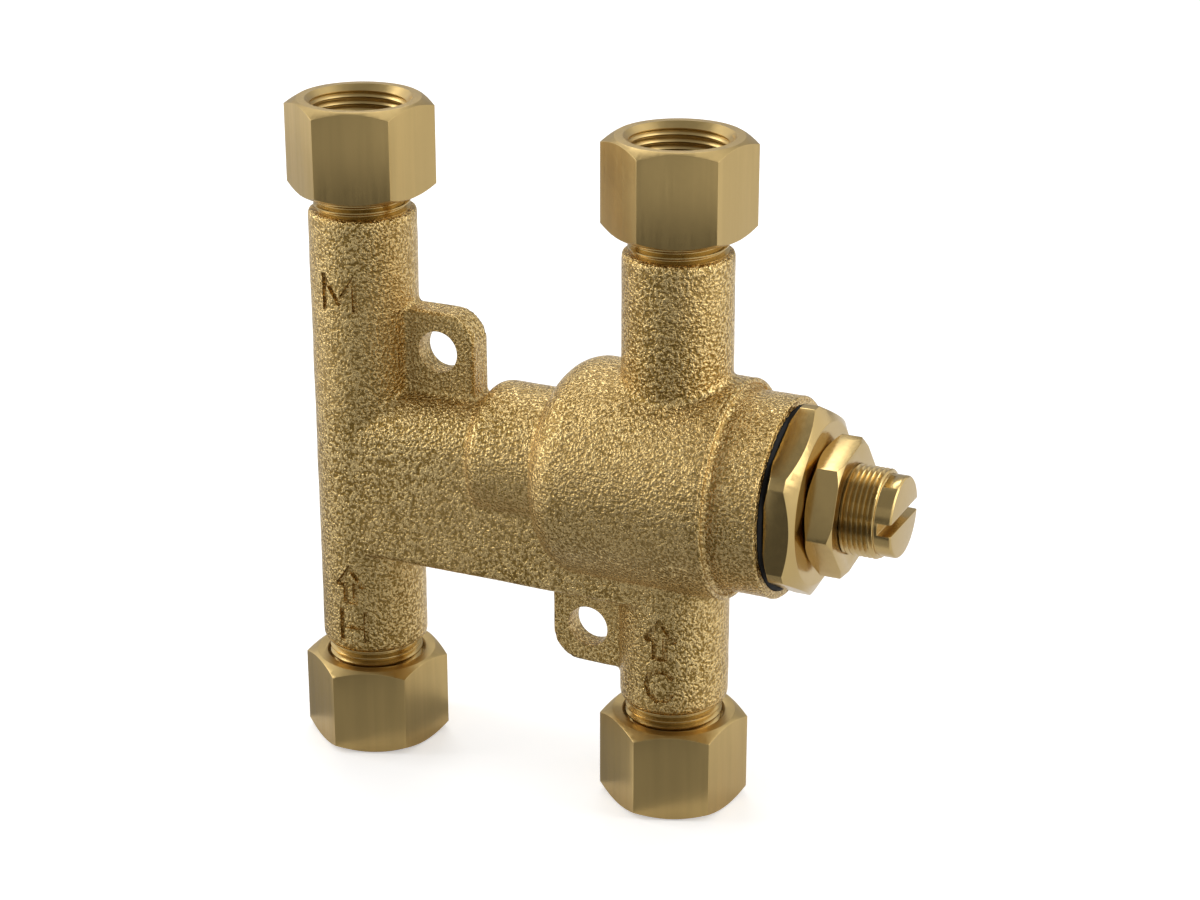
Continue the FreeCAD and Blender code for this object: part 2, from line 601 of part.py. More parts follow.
def bonnet_seal():
    """Black ring in the collar's pocket, behind the bonnet's hexagon."""
    middle = COLLAR_END - SEAL_POCKET_DEPTH + BONNET_SEAL_R + BONNET_FIT
    return ring_seal(middle, COLD_RING_R + BONNET_SEAL_R, BONNET_SEAL_R)


def spindle():
    """Adjusting screw: sealed stem, thread, plain tip and screwdriver slot."""
    groove_r = STEM_BORE_R - 2 * STEM_SEAL_R - 2 * SEAL_PLAY
    groove_half = STEM_SEAL_R + 2 * SEAL_PLAY
    screw = turned([(SPINDLE_START, 0), (SPINDLE_START, STEM_R), (STEM_SEAL_MID - groove_half, STEM_R),
                    (STEM_SEAL_MID - groove_half, groove_r), (STEM_SEAL_MID + groove_half, groove_r),
                    (STEM_SEAL_MID + groove_half, STEM_R), (STEM_END, STEM_R), (STEM_END, SPINDLE_R),
                    (SPINDLE_THREAD_END - SPINDLE_CHAMFER, SPINDLE_R),
                    (SPINDLE_THREAD_END, SPINDLE_R - SPINDLE_CHAMFER), (SPINDLE_THREAD_END, SPINDLE_TIP_R),
                    (SPINDLE_END - SPINDLE_CHAMFER, SPINDLE_TIP_R),
                    (SPINDLE_END, SPINDLE_TIP_R - SPINDLE_CHAMFER), (SPINDLE_END, 0)], "x")
    slot = Part.makeBox(2 * SLOT_DEPTH, 4 * SPINDLE_R, SLOT_WIDTH,
                        V(SPINDLE_END - SLOT_DEPTH, -2 * SPINDLE_R, -SLOT_WIDTH / 2))
    return screw.cut(slot)


def spindle_seal():
    """Ring seal in the stem's groove."""
    return ring_seal(STEM_SEAL_MID, STEM_BORE_R - STEM_SEAL_R - SEAL_PLAY, STEM_SEAL_R)


def lock_nut():
    """Hexagon nut against the bonnet's front."""
    corner_r = LOCK_FLATS / math.sqrt(3)
    blank = turned_hexagon(LOCK_START, LOCK_END, LOCK_FLATS, corner_r, LOCK_REAR_STEP,
                           LOCK_FRONT_STEP, LOCK_TURN, "x")
    return blank.cut(rod(LOCK_START, LOCK_END, SPINDLE_BORE_R, "x"))


# --- Thermostat ---------------------------------------------------------------------------------
def thrust_cup():
    """Cup that the spindle pushes, open towards the wax element, with a snap ring groove."""
    groove_r = CUP_HOLE_R + RING_GROOVE
    return turned([(CUP_START, CUP_HOLE_R), (CUP_START, CUP_R), (CUP_END, CUP_R), (CUP_END, 0),
                   (CUP_END - CUP_BASE, 0), (CUP_END - CUP_BASE, CUP_HOLE_R),
                   (RING_START + RING_THICKNESS + RING_PLAY, CUP_HOLE_R),
                   (RING_START + RING_THICKNESS + RING_PLAY, groove_r), (RING_START - RING_PLAY, groove_r),
                   (RING_START - RING_PLAY, CUP_HOLE_R)], "x")


def cup_ring():
    """Snap ring with the gap that lets it spring into the cup's groove."""
    outer_r = CUP_HOLE_R + RING_GROOVE - RING_PLAY
    ring = tube(RING_START, RING_START + RING_THICKNESS, outer_r, RING_HOLE_R, "x")
    gap_start = V(RING_START - RING_THICKNESS / 2, 0, 0)
    gap = Part.makeBox(2 * RING_THICKNESS, RING_THICKNESS, 2 * outer_r, gap_start)
    return ring.cut(gap)


def element_rod():
    """Rod that the wax pushes, with the head that the overload spring bears on."""
    head_end = ROD_HEAD_START + ROD_HEAD_THICKNESS
    return turned([(ROD_START, 0), (ROD_START, ROD_R), (ROD_HEAD_START, ROD_R), (ROD_HEAD_START, ROD_HEAD_R),
                   (head_end, ROD_HEAD_R), (head_end, 0)], "x")


def overload_spring():
    """Stiff spring between the rod's head and the bottom of the cup."""
    return coil_spring(ROD_HEAD_START + ROD_HEAD_THICKNESS, CUP_END - CUP_BASE, OVERLOAD_SPRING_R,
                       OVERLOAD_WIRE_R, OVERLOAD_TURNS, "x")


def wax_element():
    """Wax capsule: bulb, flange on the shuttle's hub, and guide neck for the rod."""
    element = turned([(BULB_START, 0), (BULB_START, BULB_R), (FLANGE_START, BULB_R), (FLANGE_START, FLANGE_R),
                      (HUB_START, FLANGE_R), (HUB_START, NECK_R), (NECK_END, NECK_R), (NECK_END, 0)], "x")
    nose = edges_where(element, lambda edge, p: abs(p.x - BULB_START) < SLACK)
    element = element.makeFillet(BULB_EDGE_R, nose)
    return element.cut(rod(WELL_START, NECK_END, ROD_R + ROD_FIT, "x"))


def shuttle():
    """Sleeve that meters hot water at its left edge and cold water at its right edge."""
    groove_half = SHUTTLE_SEAL_R + 2 * SEAL_PLAY
    groove_r = LAND_R - 2 * SHUTTLE_SEAL_R - 2 * SEAL_PLAY
    sleeve = turned([(SHUTTLE_START, SHUTTLE_BORE_R), (SHUTTLE_START, SHUTTLE_R),
                     (SHUTTLE_SEAL_MID - groove_half, SHUTTLE_R), (SHUTTLE_SEAL_MID - groove_half, groove_r),
                     (SHUTTLE_SEAL_MID + groove_half, groove_r), (SHUTTLE_SEAL_MID + groove_half, SHUTTLE_R),
                     (SHUTTLE_END, SHUTTLE_R), (SHUTTLE_END, SHUTTLE_BORE_R)], "x")
    hub_hole_r = NECK_R + SHUTTLE_FIT
    hub = tube(HUB_START, HUB_END, HUB_R, hub_hole_r, "x")
    hub_middle_r = (hub_hole_r + HUB_R) / 2
    sleeve_middle_r = (SHUTTLE_BORE_R + groove_r) / 2
    legs = spokes(HUB_SPOKES, HUB_SPOKE_WIDTH, hub_middle_r, sleeve_middle_r, HUB_START, HUB_END, "x")
    return one_solid(sleeve.multiFuse([hub] + legs))


def shuttle_seal():
    """Ring seal in the shuttle's groove."""
    return ring_seal(SHUTTLE_SEAL_MID, LAND_R - SHUTTLE_SEAL_R - SEAL_PLAY, SHUTTLE_SEAL_R)


def return_spring():
    """Spring between the mixing barrel's step and the wax element's flange."""
    return coil_spring(SPRING_STEP, FLANGE_START, RETURN_SPRING_R, RETURN_WIRE_R, RETURN_TURNS, "x")


# --- Assembly -------------------------------------------------------------------------------------
def at_port(shape, x, upward):
    """A piece made for the upward stub, moved to one port."""
    placed = shape.copy()
    if not upward:
        placed.rotate(V(0, 0, 0), V(1, 0, 0), 180)
    placed.translate(V(x, 0, 0))
    return placed


def in_inlet(shape, x):
    """An inlet cartridge piece, moved into one of the downward stubs."""
    placed = shape.copy()
    placed.translate(V(x, 0, -STUB_END))
    return placed


def pieces():
    """Every node's name and its shape, about the barrel axis."""
    made = {
        "valve_body": valve_body(),
        "bonnet": bonnet(),
        "bonnet_seal": bonnet_seal(),
        "spindle": spindle(),
        "spindle_seal": spindle_seal(),
        "lock_nut": lock_nut(),
        "thrust_cup": thrust_cup(),
        "cup_ring": cup_ring(),
        "element_rod": element_rod(),
        "overload_spring": overload_spring(),
        "wax_element": wax_element(),
        "shuttle": shuttle(),
        "shuttle_seal": shuttle_seal(),
        "return_spring": return_spring(),
    }
    nut = union_nut()
    flat_washer = washer()
    ports = {"mixed_outlet": (-PORT_X, True), "hot_inlet": (-PORT_X, False),
             "cold_outlet": (PORT_X, True), "cold_inlet": (PORT_X, False)}
    for name, (x, upward) in ports.items():
        made[name + "_nut"] = at_port(nut, x, upward)
        made[name + "_washer"] = at_port(flat_washer, x, upward)
    cartridge = {"inlet_screen": inlet_screen(), "check_cage": check_cage(),
                 "check_poppet": check_poppet(), "check_spring": check_spring()}
    for water, x in (("hot", -PORT_X), ("cold", PORT_X)):
        for name, shape in cartridge.items():
            made[water + "_" + name] = in_inlet(shape, x)
    return made


def main():
    os.makedirs("parts", exist_ok=True)
    for name, shape in pieces().items():
        shape.translate(V(0, 0, BARREL_HEIGHT))
        shape.exportStep("parts/" + name + ".step")
        print(name, len(shape.Solids), shape.isValid(), round(shape.Volume, 1))


main()
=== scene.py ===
"""Looks of the mixing valve.

A soft sand casting, turned brass fittings with real threads, and a white studio.
"""

import json
import math

import bpy
from mathutils import Matrix, Vector


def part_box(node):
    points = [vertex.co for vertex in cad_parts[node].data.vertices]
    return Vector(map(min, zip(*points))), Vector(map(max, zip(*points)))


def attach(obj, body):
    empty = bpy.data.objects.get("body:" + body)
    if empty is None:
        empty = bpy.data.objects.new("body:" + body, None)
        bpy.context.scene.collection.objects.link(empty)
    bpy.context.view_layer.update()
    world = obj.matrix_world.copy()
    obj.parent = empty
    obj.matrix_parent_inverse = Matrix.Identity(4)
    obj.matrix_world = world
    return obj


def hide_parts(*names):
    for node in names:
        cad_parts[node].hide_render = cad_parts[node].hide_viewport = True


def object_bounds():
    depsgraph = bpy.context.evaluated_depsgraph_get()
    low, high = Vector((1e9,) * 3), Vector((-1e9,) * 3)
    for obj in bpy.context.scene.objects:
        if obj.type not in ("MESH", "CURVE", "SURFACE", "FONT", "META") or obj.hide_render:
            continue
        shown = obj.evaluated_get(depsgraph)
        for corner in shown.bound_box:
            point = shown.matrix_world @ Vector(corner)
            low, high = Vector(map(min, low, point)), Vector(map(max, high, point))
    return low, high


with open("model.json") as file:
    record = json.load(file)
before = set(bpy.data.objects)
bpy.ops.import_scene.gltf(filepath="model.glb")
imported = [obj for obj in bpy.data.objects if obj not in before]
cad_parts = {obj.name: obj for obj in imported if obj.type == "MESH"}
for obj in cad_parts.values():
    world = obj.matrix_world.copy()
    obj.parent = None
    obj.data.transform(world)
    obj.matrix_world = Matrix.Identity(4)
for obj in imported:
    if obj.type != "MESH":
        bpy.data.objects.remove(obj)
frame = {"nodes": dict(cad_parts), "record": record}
CAD_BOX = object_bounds()

bl_info = {
    "name": "Mixing valve looks",
    "version": (1, 0, 0),
    "blender": (4, 5, 0),
    "location": "3D View > Sidebar > Valve",
    "description": "Builds the casting, threads, finishes and studio round the valve's CAD frame",
    "category": "Object",
}

MM = 0.001
NEAR = 0.01 * MM                 # points closer than this are at one place
PAST = 1.0 * MM                  # how far a blank or a cutter runs on past what it meets
NUT_TURN = math.radians(21.2)    # from X to a corner of every union nut
PORTS = {"mixed_outlet": 1, "hot_inlet": -1, "cold_outlet": 1, "cold_inlet": -1}    # +1 faces up


# --- Sizes read from the frame -------------------------------------------------------------------
def middle(node):
    """The middle of a CAD node's box."""
    low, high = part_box(node)
    return (low + high) / 2


BODY_LOW, BODY_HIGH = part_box("valve_body")
LEFT_X = middle("mixed_outlet_nut").x
RIGHT_X = middle("cold_outlet_nut").x
AXIS_Z = middle("spindle").z
COLUMN_R = LEFT_X - BODY_LOW.x
CHAMBER_R = BODY_HIGH.y
COLLAR_END = BODY_HIGH.x
BARREL_AXIS = (0, 0, AXIS_Z)
FLOOR_Z = CAD_BOX[0][2] - 0.05 * MM


# --- Settings that a user would change -----------------------------------------------------------
def length(name, description, default):
    """A length property, in metres."""
    return bpy.props.FloatProperty(name=name, description=description, default=default,
                                   unit="LENGTH", precision=5)


def colour(name, description, default):
    """A linear colour property."""
    return bpy.props.FloatVectorProperty(name=name, description=description, default=default,
                                         size=3, subtype="COLOR", min=0.0, max=1.0)


class CastingSettings(bpy.types.PropertyGroup):
    voxel: length("Skin cell", "Cell size of the casting's skin", 0.43 * MM)
    softness: bpy.props.IntProperty(name="Blend softness", default=2,
                                    description="How often the skin is smoothed")
    unevenness: length("Unevenness", "Height of the casting's slow waves", 0.14 * MM)
    mark_depth: length("Mark depth", "Depth of the port marks", 0.55 * MM)
    mark_width: length("Mark width", "Stroke width of the port marks", 0.78 * MM)


class ThreadSettings(bpy.types.PropertyGroup):
    port_pitch: length("Port pitch", "Pitch of the stub and union nut threads", 1.0583 * MM)
    port_depth: length("Port thread depth", "Depth of the stub threads", 0.56 * MM)
    spindle_pitch: length("Spindle pitch", "Pitch of the adjusting thread", 0.75 * MM)
    spindle_depth: length("Spindle thread depth", "Depth of the adjusting thread", 0.62 * MM)
    steps: bpy.props.IntProperty(name="Steps", default=72,
                                 description="Steps in one turn of a thread")


class FinishSettings(bpy.types.PropertyGroup):
    # Crests: the brass lightened to a painted glint. Pits: the brass's olive-brown oxide, darkened
    # further by painted shade.
    cast: colour("Cast brass", "Crests of the cast skin", (0.86, 0.635, 0.28))
    cast_pits_oxide_and_shade: colour("Cast brass, pits", "Pits of the cast skin", (0.31, 0.19, 0.045))
    turned: colour("Turned brass", "Nuts, bonnet and spindle", (0.60, 0.43, 0.175))
    rubber: colour("Rubber", "Seals and washers", (0.006, 0.006, 0.0065))
    steel: colour("Stainless steel", "Springs, screens and rod", (0.60, 0.59, 0.57))
    plastic: colour("Acetal", "Shuttle, cages and poppets", (0.78, 0.77, 0.72))
    copper: colour("Copper", "Wax element", (0.72, 0.36, 0.22))


class StageSettings(bpy.types.PropertyGroup):
    floor: length("Floor size", "Side of the floor", 6.0)
    camera: bpy.props.FloatVectorProperty(name="Camera", description="Place of the camera", size=3,
                                          default=(0.168496, -0.337301, 0.155572),
                                          subtype="TRANSLATION")
    azimuth: bpy.props.FloatProperty(name="Azimuth", default=math.radians(24.733), subtype="ANGLE",
                                     description="Camera's turn to the left of straight ahead")
    dip: bpy.props.FloatProperty(name="Dip", description="Camera's downward tilt",
                                 default=math.radians(21.698), subtype="ANGLE")
    lens: bpy.props.FloatProperty(name="Lens", description="Focal length in millimetres",
                                  default=82.53)


class ValveSettings(bpy.types.PropertyGroup):
    casting: bpy.props.PointerProperty(type=CastingSettings)
    threads: bpy.props.PointerProperty(type=ThreadSettings)
    finishes: bpy.props.PointerProperty(type=FinishSettings)
    stage: bpy.props.PointerProperty(type=StageSettings)


# --- Mesh helpers --------------------------------------------------------------------------------
def deselect():
    """Let go of every object."""
    bpy.ops.object.select_all(action="DESELECT")


def activate(piece):
    """Make a piece the only selected and the active object."""
    deselect()
    piece.select_set(True)
    bpy.context.view_layer.objects.active = piece


def placed(name):
    """The primitive just added, named, with its place put into its mesh."""
    piece = bpy.context.object
    piece.name = name
    piece.data.name = name
    bpy.ops.object.transform_apply(location=True, rotation=True, scale=True)
    return piece


def along(axis):
    """Rotation that lays a primitive's Z along an axis."""
    return {"x": (0, math.pi / 2, 0), "y": (-math.pi / 2, 0, 0), "z": (0, 0, 0)}[axis]


def cylinder(name, radius, start, end, axis, centre, sides=96):
    """A cylinder between two places on an axis."""
    deselect()
    place = Vector(centre)
    place["xyz".index(axis)] = (start + end) / 2
    bpy.ops.mesh.primitive_cylinder_add(vertices=sides, radius=radius, depth=end - start,
                                        location=place, rotation=along(axis))
    return placed(name)


def countersink(name, radius, mouth, depth):
    """A 45 degree cone on the Z axis that opens upwards at its mouth."""
    deselect()
    bpy.ops.mesh.primitive_cone_add(vertices=96, radius1=radius + PAST, radius2=radius - depth,
                                    depth=depth + PAST, rotation=(math.pi, 0, 0),
                                    location=(0, 0, mouth + (PAST - depth) / 2))
    return placed(name)


def block(name, low, high):
    """A box between two corners."""
    deselect()
    low, high = Vector(low), Vector(high)
    bpy.ops.mesh.primitive_cube_add(size=1, location=(low + high) / 2, scale=high - low)
    return placed(name)


def pick_edges(piece, test):
    """In edit mode, select the edges whose two ends pass a test."""
    activate(piece)
    bpy.ops.object.mode_set(mode="EDIT")
    bpy.ops.mesh.select_mode(type="EDGE")
    bpy.ops.mesh.select_all(action="DESELECT")
    bpy.ops.object.mode_set(mode="OBJECT")
    points = piece.data.vertices
    for edge in piece.data.edges:
        edge.select = all(test(points[i].co) for i in edge.vertices)
    bpy.ops.object.mode_set(mode="EDIT")


def round_edges(piece, radius, segments, test):
    """Round the edges whose two ends pass a test."""
    pick_edges(piece, test)
    bpy.ops.mesh.bevel(offset=radius, segments=segments, affect="EDGES")
    bpy.ops.object.mode_set(mode="OBJECT")


def finish_with(piece, kind, **settings):
    """Add a modifier, set it up and apply it."""
    activate(piece)
    modifier = piece.modifiers.new(kind.title(), kind)
    for key, value in settings.items():
        setattr(modifier, key, value)
    bpy.ops.object.modifier_apply(modifier=modifier.name)


def combine(piece, tool, operation):
    """Join, cut or trim a piece with a tool, and drop the tool."""
    finish_with(piece, "BOOLEAN", object=tool, operation=operation, solver="MANIFOLD")
    mesh = tool.data
    bpy.data.objects.remove(tool)
    bpy.data.meshes.remove(mesh)


def joined(piece, part):
    """The piece with the part joined on, or the part alone where there is no piece yet."""
    if piece:
        combine(piece, part, "UNION")
    return piece or part


def tidy_mesh(piece, merge=0.0):
    """Merge doubles if asked, and turn all faces outwards."""
    activate(piece)
    bpy.ops.object.mode_set(mode="EDIT")
    bpy.ops.mesh.select_all(action="SELECT")
    if merge:
        bpy.ops.mesh.remove_doubles(threshold=merge)
    bpy.ops.mesh.normals_make_consistent(inside=False)
    bpy.ops.object.mode_set(mode="OBJECT")


def cut_off(piece, place, normal):
    """Cut a closed piece at a plane, drop what lies beyond and close it."""
    activate(piece)
    bpy.ops.object.mode_set(mode="EDIT")
    bpy.ops.mesh.select_all(action="SELECT")
    bpy.ops.mesh.bisect(plane_co=place, plane_no=normal, use_fill=True, clear_outer=True,
                        threshold=NEAR / 100)
    bpy.ops.object.mode_set(mode="OBJECT")


def copy_of(piece, name, move=(0, 0, 0), upside_down=False):
    """A copy with its own mesh, moved, and turned over first about a nut's corners if asked."""
    twin = piece.copy()
    twin.data = piece.data.copy()
    twin.name = name
    twin.data.name = name
    bpy.context.scene.collection.objects.link(twin)
    corners = Vector((math.cos(NUT_TURN), math.sin(NUT_TURN), 0))
    turn = Matrix.Rotation(math.pi, 4, corners) if upside_down else Matrix.Identity(4)
    twin.data.transform(Matrix.Translation(Vector(move)) @ turn)
    return twin


def threaded_rod(name, crest_r, depth, pitch, start, end, steps):
    """A closed rod on the Z axis with a right-handed thread, cut square at both ends.

    Its outline over one turn has six points, each a radius and a share of the pitch. It is
    wound over a few turns more than are needed, and what is too long is cut off.
    """
    turns = math.ceil((end - start) / pitch) + 4
    base = math.floor(start / pitch - 1) * pitch
    root_r = crest_r - depth
    deselect()
    bpy.ops.mesh.primitive_circle_add(vertices=6, radius=pitch, location=(0, 0, 0))
    profile = placed(name)
    outline = [(root_r, 0.0), (root_r, 0.05), (crest_r, 0.42), (crest_r, 0.58), (root_r, 0.95),
               (root_r, 1.0)]
    for point, (radius, share) in zip(profile.data.vertices, outline):
        point.co = (radius, 0, base + share * pitch)
    activate(profile)
    bpy.ops.object.mode_set(mode="EDIT")
    bpy.ops.mesh.select_mode(type="EDGE")
    bpy.ops.mesh.select_all(action="DESELECT")
    bpy.ops.object.mode_set(mode="OBJECT")
    for edge in profile.data.edges:
        edge.select = set(edge.vertices) == {0, 5}
    bpy.ops.object.mode_set(mode="EDIT")
    bpy.ops.mesh.delete(type="EDGE_FACE")
    bpy.ops.object.mode_set(mode="OBJECT")
    finish_with(profile, "SCREW", angle=2 * math.pi, screw_offset=pitch, iterations=turns, axis="Z",
                steps=steps, render_steps=steps, use_smooth_shade=False)
    tidy_mesh(profile, merge=0.002 * MM)
    cut_off(profile, (0, 0, start), (0, 0, -1))
    cut_off(profile, (0, 0, end), (0, 0, 1))
    tidy_mesh(profile)
    return profile


def softened_copy(node, name, width):
    """A merged copy of a CAD node with its sharp edges broken."""
    twin = copy_of(frame["nodes"][node], name)
    for key in list(twin.keys()):
        if key.startswith("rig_"):
            del twin[key]
    twin.parent = None
    twin.data.materials.clear()
    activate(twin)
    bpy.ops.object.mode_set(mode="EDIT")
    bpy.ops.mesh.select_all(action="SELECT")
    bpy.ops.mesh.remove_doubles(threshold=0.001 * MM)
    bpy.ops.mesh.dissolve_limited(angle_limit=math.radians(0.5))
    bpy.ops.object.mode_set(mode="OBJECT")
    finish_with(twin, "BEVEL", width=width, segments=3, limit_method="ANGLE",
                angle_limit=math.radians(20), use_clamp_overlap=True, harden_normals=False)
    return twin


def shade(piece, angle):
    """Shade smoothly, but keep edges sharper than an angle in degrees."""
    activate(piece)
    bpy.ops.object.shade_smooth_by_angle(angle=math.radians(angle))


def hand_in(piece, body, node, finish):
    """Give a finished piece its body, the node it stands for and its material."""
    piece.data.materials.clear()
    piece.data.materials.append(finish)
    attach(piece, body)
    if node:
        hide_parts(node)


# --- Casting -------------------------------------------------------------------------------------
COLUMN_TOP = AXIS_Z + 34.35 * MM
COLUMN_BOTTOM = AXIS_Z - 34.35 * MM
COLUMN_RIM = 0.6 * MM
ARM_HALF = COLUMN_R - 0.15 * MM
ARM_BOTTOM = AXIS_Z - 18.1 * MM
ARM_EDGE = 0.7 * MM
CHAMBER_START = RIGHT_X - 18.19 * MM
CHAMBER_END = RIGHT_X + 10.0 * MM
CHAMBER_SHOULDER = 6.0 * MM
CHAMBER_RIM = 0.5 * MM
CHAMBER_LIP = 0.45 * MM
CHAMBER_LIP_X = CHAMBER_END - 0.15 * MM
CHAMBER_LIP_R = CHAMBER_R - 0.02 * MM
COLLAR_R = 14.55 * MM
COLLAR_LIP = 0.4 * MM
COLLAR_LIP_X = COLLAR_END - 0.42 * MM
COLLAR_LIP_R = COLLAR_R + 0.05 * MM
BARREL_START = CHAMBER_START - 11.5 * MM
BARREL_R = 10.25 * MM
BARREL_RIM = 2.2 * MM
EAR_X = 12.1 * MM           # fixing hole from the middle, along X
EAR_Z = 19.8 * MM           # fixing hole from the middle, up or down
EAR_Y = 0.4 * MM            # ear's middle plane
EAR_HALF = 2.5 * MM
EAR_SIDE = 5.75 * MM        # fixing hole to the ear's free side
EAR_END = 5.95 * MM         # fixing hole to the ear's free end
EAR_CORNER = 4.5 * MM
EAR_HOLE_R = 3.17 * MM
EAR_HOLE_REACH = 8.0 * MM   # cuts past both faces of an ear
FLARE_DEPTH = 2.5 * MM      # the cone that widens a fixing hole at the back
FLARE_SET_IN = 0.35 * MM    # its middle, in from the ear's back
FLARE_IN_R = EAR_HOLE_R - 0.2 * MM
FLARE_OUT_R = EAR_HOLE_R + 2.3 * MM
SKIN_ROOM = 0.06 * MM       # kept free outside the chamber for the skin's waves
WAVE_SIZE = 5.0 * MM

# Waterways and the seats of the inner parts
PORT_BORE_R = 4.8 * MM
MIXED_BORE_BELOW = 3.5 * MM     # the mixed bore's blind end, below the barrel's axis
HOT_BORE_BELOW = 9.0 * MM       # the hot bore's blind end, below the barrel's axis
CARTRIDGE_R = 5.6 * MM
CARTRIDGE_DEPTH = 16.0 * MM
MIXED_DUCT_R = 4.5 * MM
MIXED_DUCT_ABOVE = 1.0 * MM     # its middle, above the barrel's axis
HOT_DUCT_R = 3.6 * MM
HOT_DUCT_BELOW = 12.5 * MM      # its middle, below the barrel's axis
MIX_TAIL_R = 5.0 * MM
MIX_TAIL_LENGTH = 4.0 * MM
MIX_BORE_R = 6.8 * MM
HOT_RING_R = 11.4 * MM
HOT_RING_END = 4.5 * MM     # from the hot seat
LAND_R = 9.55 * MM
LAND_END = 10.6 * MM        # from the hot seat
COLD_RING_R = 12.05 * MM
SEAL_POCKET_R = 13.42 * MM
SEAL_ROOM = 0.05 * MM       # behind the bonnet's seal
SEAT_GAP = 1.6 * MM         # open width of the hot seat
BORE_LAP = 0.1 * MM         # how far neighbouring bores run into one another

# Shading: faces that meet at more than this many degrees keep a sharp edge
CAST_EDGE = 50
TURNED_EDGE = 24
THREAD_EDGE = 20


def column_blank(x):
    """A cast port column with rounded rims."""
    column = cylinder("column", COLUMN_R, COLUMN_BOTTOM, COLUMN_TOP, "z", (x, 0, 0))
    for rim in (COLUMN_TOP, COLUMN_BOTTOM):
        round_edges(column, COLUMN_RIM, 3, lambda p: abs(p.z - rim) < NEAR)
    return column


def barrel_blank():
    """The mixing barrel with its rounded left end."""
    barrel = cylinder("barrel", BARREL_R, BARREL_START, CHAMBER_START + CHAMBER_SHOULDER, "x",
                      BARREL_AXIS, 128)
    round_edges(barrel, BARREL_RIM, 6, lambda p: abs(p.x - BARREL_START) < NEAR)
    return barrel


def chamber_blank():
    """The large chamber with a rounded left shoulder."""
    chamber = cylinder("chamber", CHAMBER_R - SKIN_ROOM, CHAMBER_START, CHAMBER_END, "x",
                       BARREL_AXIS, 160)
    round_edges(chamber, CHAMBER_SHOULDER, 10, lambda p: abs(p.x - CHAMBER_START) < NEAR)
    round_edges(chamber, CHAMBER_RIM, 2, lambda p: abs(p.x - CHAMBER_END) < NEAR)
    return chamber


def collar_blank():
    """The collar that the bonnet screws into."""
    return cylinder("collar", COLLAR_R, CHAMBER_END - PAST, COLLAR_END, "x", BARREL_AXIS, 160)


def arm_blank():
    """The arm between the columns: flat sides and bottom, round top."""
    arm = block("arm", (LEFT_X, -ARM_HALF, ARM_BOTTOM), (RIGHT_X, ARM_HALF, AXIS_Z))
    round_edges(arm, ARM_EDGE, 3, lambda p: abs(p.z - ARM_BOTTOM) < NEAR)
    combine(arm, cylinder("arm_top", ARM_HALF, LEFT_X, RIGHT_X, "x", BARREL_AXIS), "UNION")
    return arm


def ear_blank(side):
    """A wall-fixing ear: +1 is the lower right one, -1 the upper left one."""
    hole = Vector((side * EAR_X, EAR_Y, -side * EAR_Z))
    free_x = hole.x - side * EAR_SIDE
    free_z = hole.z - side * EAR_END
    root_x = side * RIGHT_X
    low = (min(free_x, root_x), EAR_Y - EAR_HALF, min(free_z, AXIS_Z))
    high = (max(free_x, root_x), EAR_Y + EAR_HALF, max(free_z, AXIS_Z))
    ear = block("ear", low, high)
    round_edges(ear, EAR_CORNER, 10,
                lambda p: abs(p.x - free_x) < NEAR and abs(p.z - free_z) < NEAR)
    return ear


def stroke(start, end, width, y_front, y_back):
    """One straight stroke of a mark: a bar that reaches half its width past both ends."""
    start, end = Vector((start[0], 0, start[1])), Vector((end[0], 0, end[1]))
    across = (end - start).normalized().cross(Vector((0, 1, 0))) * width / 2
    reach = (end - start).normalized() * width / 2
    bar = block("stroke", (-0.5, -0.5, -0.5), (0.5, 0.5, 0.5))
    corners = {(-1, -1): start - reach - across, (-1, 1): start - reach + across,
               (1, -1): end + reach - across, (1, 1): end + reach + across}
    for point in bar.data.vertices:
        key = (1 if point.co.x > 0 else -1, 1 if point.co.z > 0 else -1)
        corner = corners[key]
        point.co = (corner.x, y_back if point.co.y > 0 else y_front, corner.z)
    tidy_mesh(bar)
    return bar


# The strokes of each mark, from its low left (0, 0) to its high right corner (1, 1)
MARK_M = [((0, 0), (0, 1)), ((0, 1), (0.5, 0.25)), ((0.5, 0.25), (1, 1)), ((1, 1), (1, 0))]
MARK_H = [((0, 0), (0, 1)), ((1, 0), (1, 1)), ((0, 0.5), (1, 0.5))]
MARK_C = [((0.92, 0.8), (0.75, 0.96)), ((0.75, 0.96), (0.4, 1)), ((0.4, 1), (0.1, 0.8)),
          ((0.1, 0.8), (0, 0.5)), ((0, 0.5), (0.1, 0.2)), ((0.1, 0.2), (0.4, 0)),
          ((0.4, 0), (0.75, 0.04)), ((0.75, 0.04), (0.92, 0.2))]
MARK_UP = [((0.3, 0), (0.3, 0.5)), ((0.3, 0.5), (0, 0.5)), ((0, 0.5), (0.5, 1)),
           ((0.5, 1), (1, 0.5)), ((1, 0.5), (0.7, 0.5)), ((0.7, 0.5), (0.7, 0)),
           ((0.7, 0), (0.3, 0))]

# Each mark's corners in mm: X, and height above the barrel's axis
MARKS = ((MARK_M, (-27.7, 20.6), (-22.7, 25.6)), (MARK_H, (-26.6, -32.6), (-22.6, -27.8)),
         (MARK_UP, (-27.0, -26.0), (-23.0, -20.5)), (MARK_C, (24.2, -32.0), (28.2, -27.2)),
         (MARK_UP, (24.2, -25.2), (28.2, -19.4)))


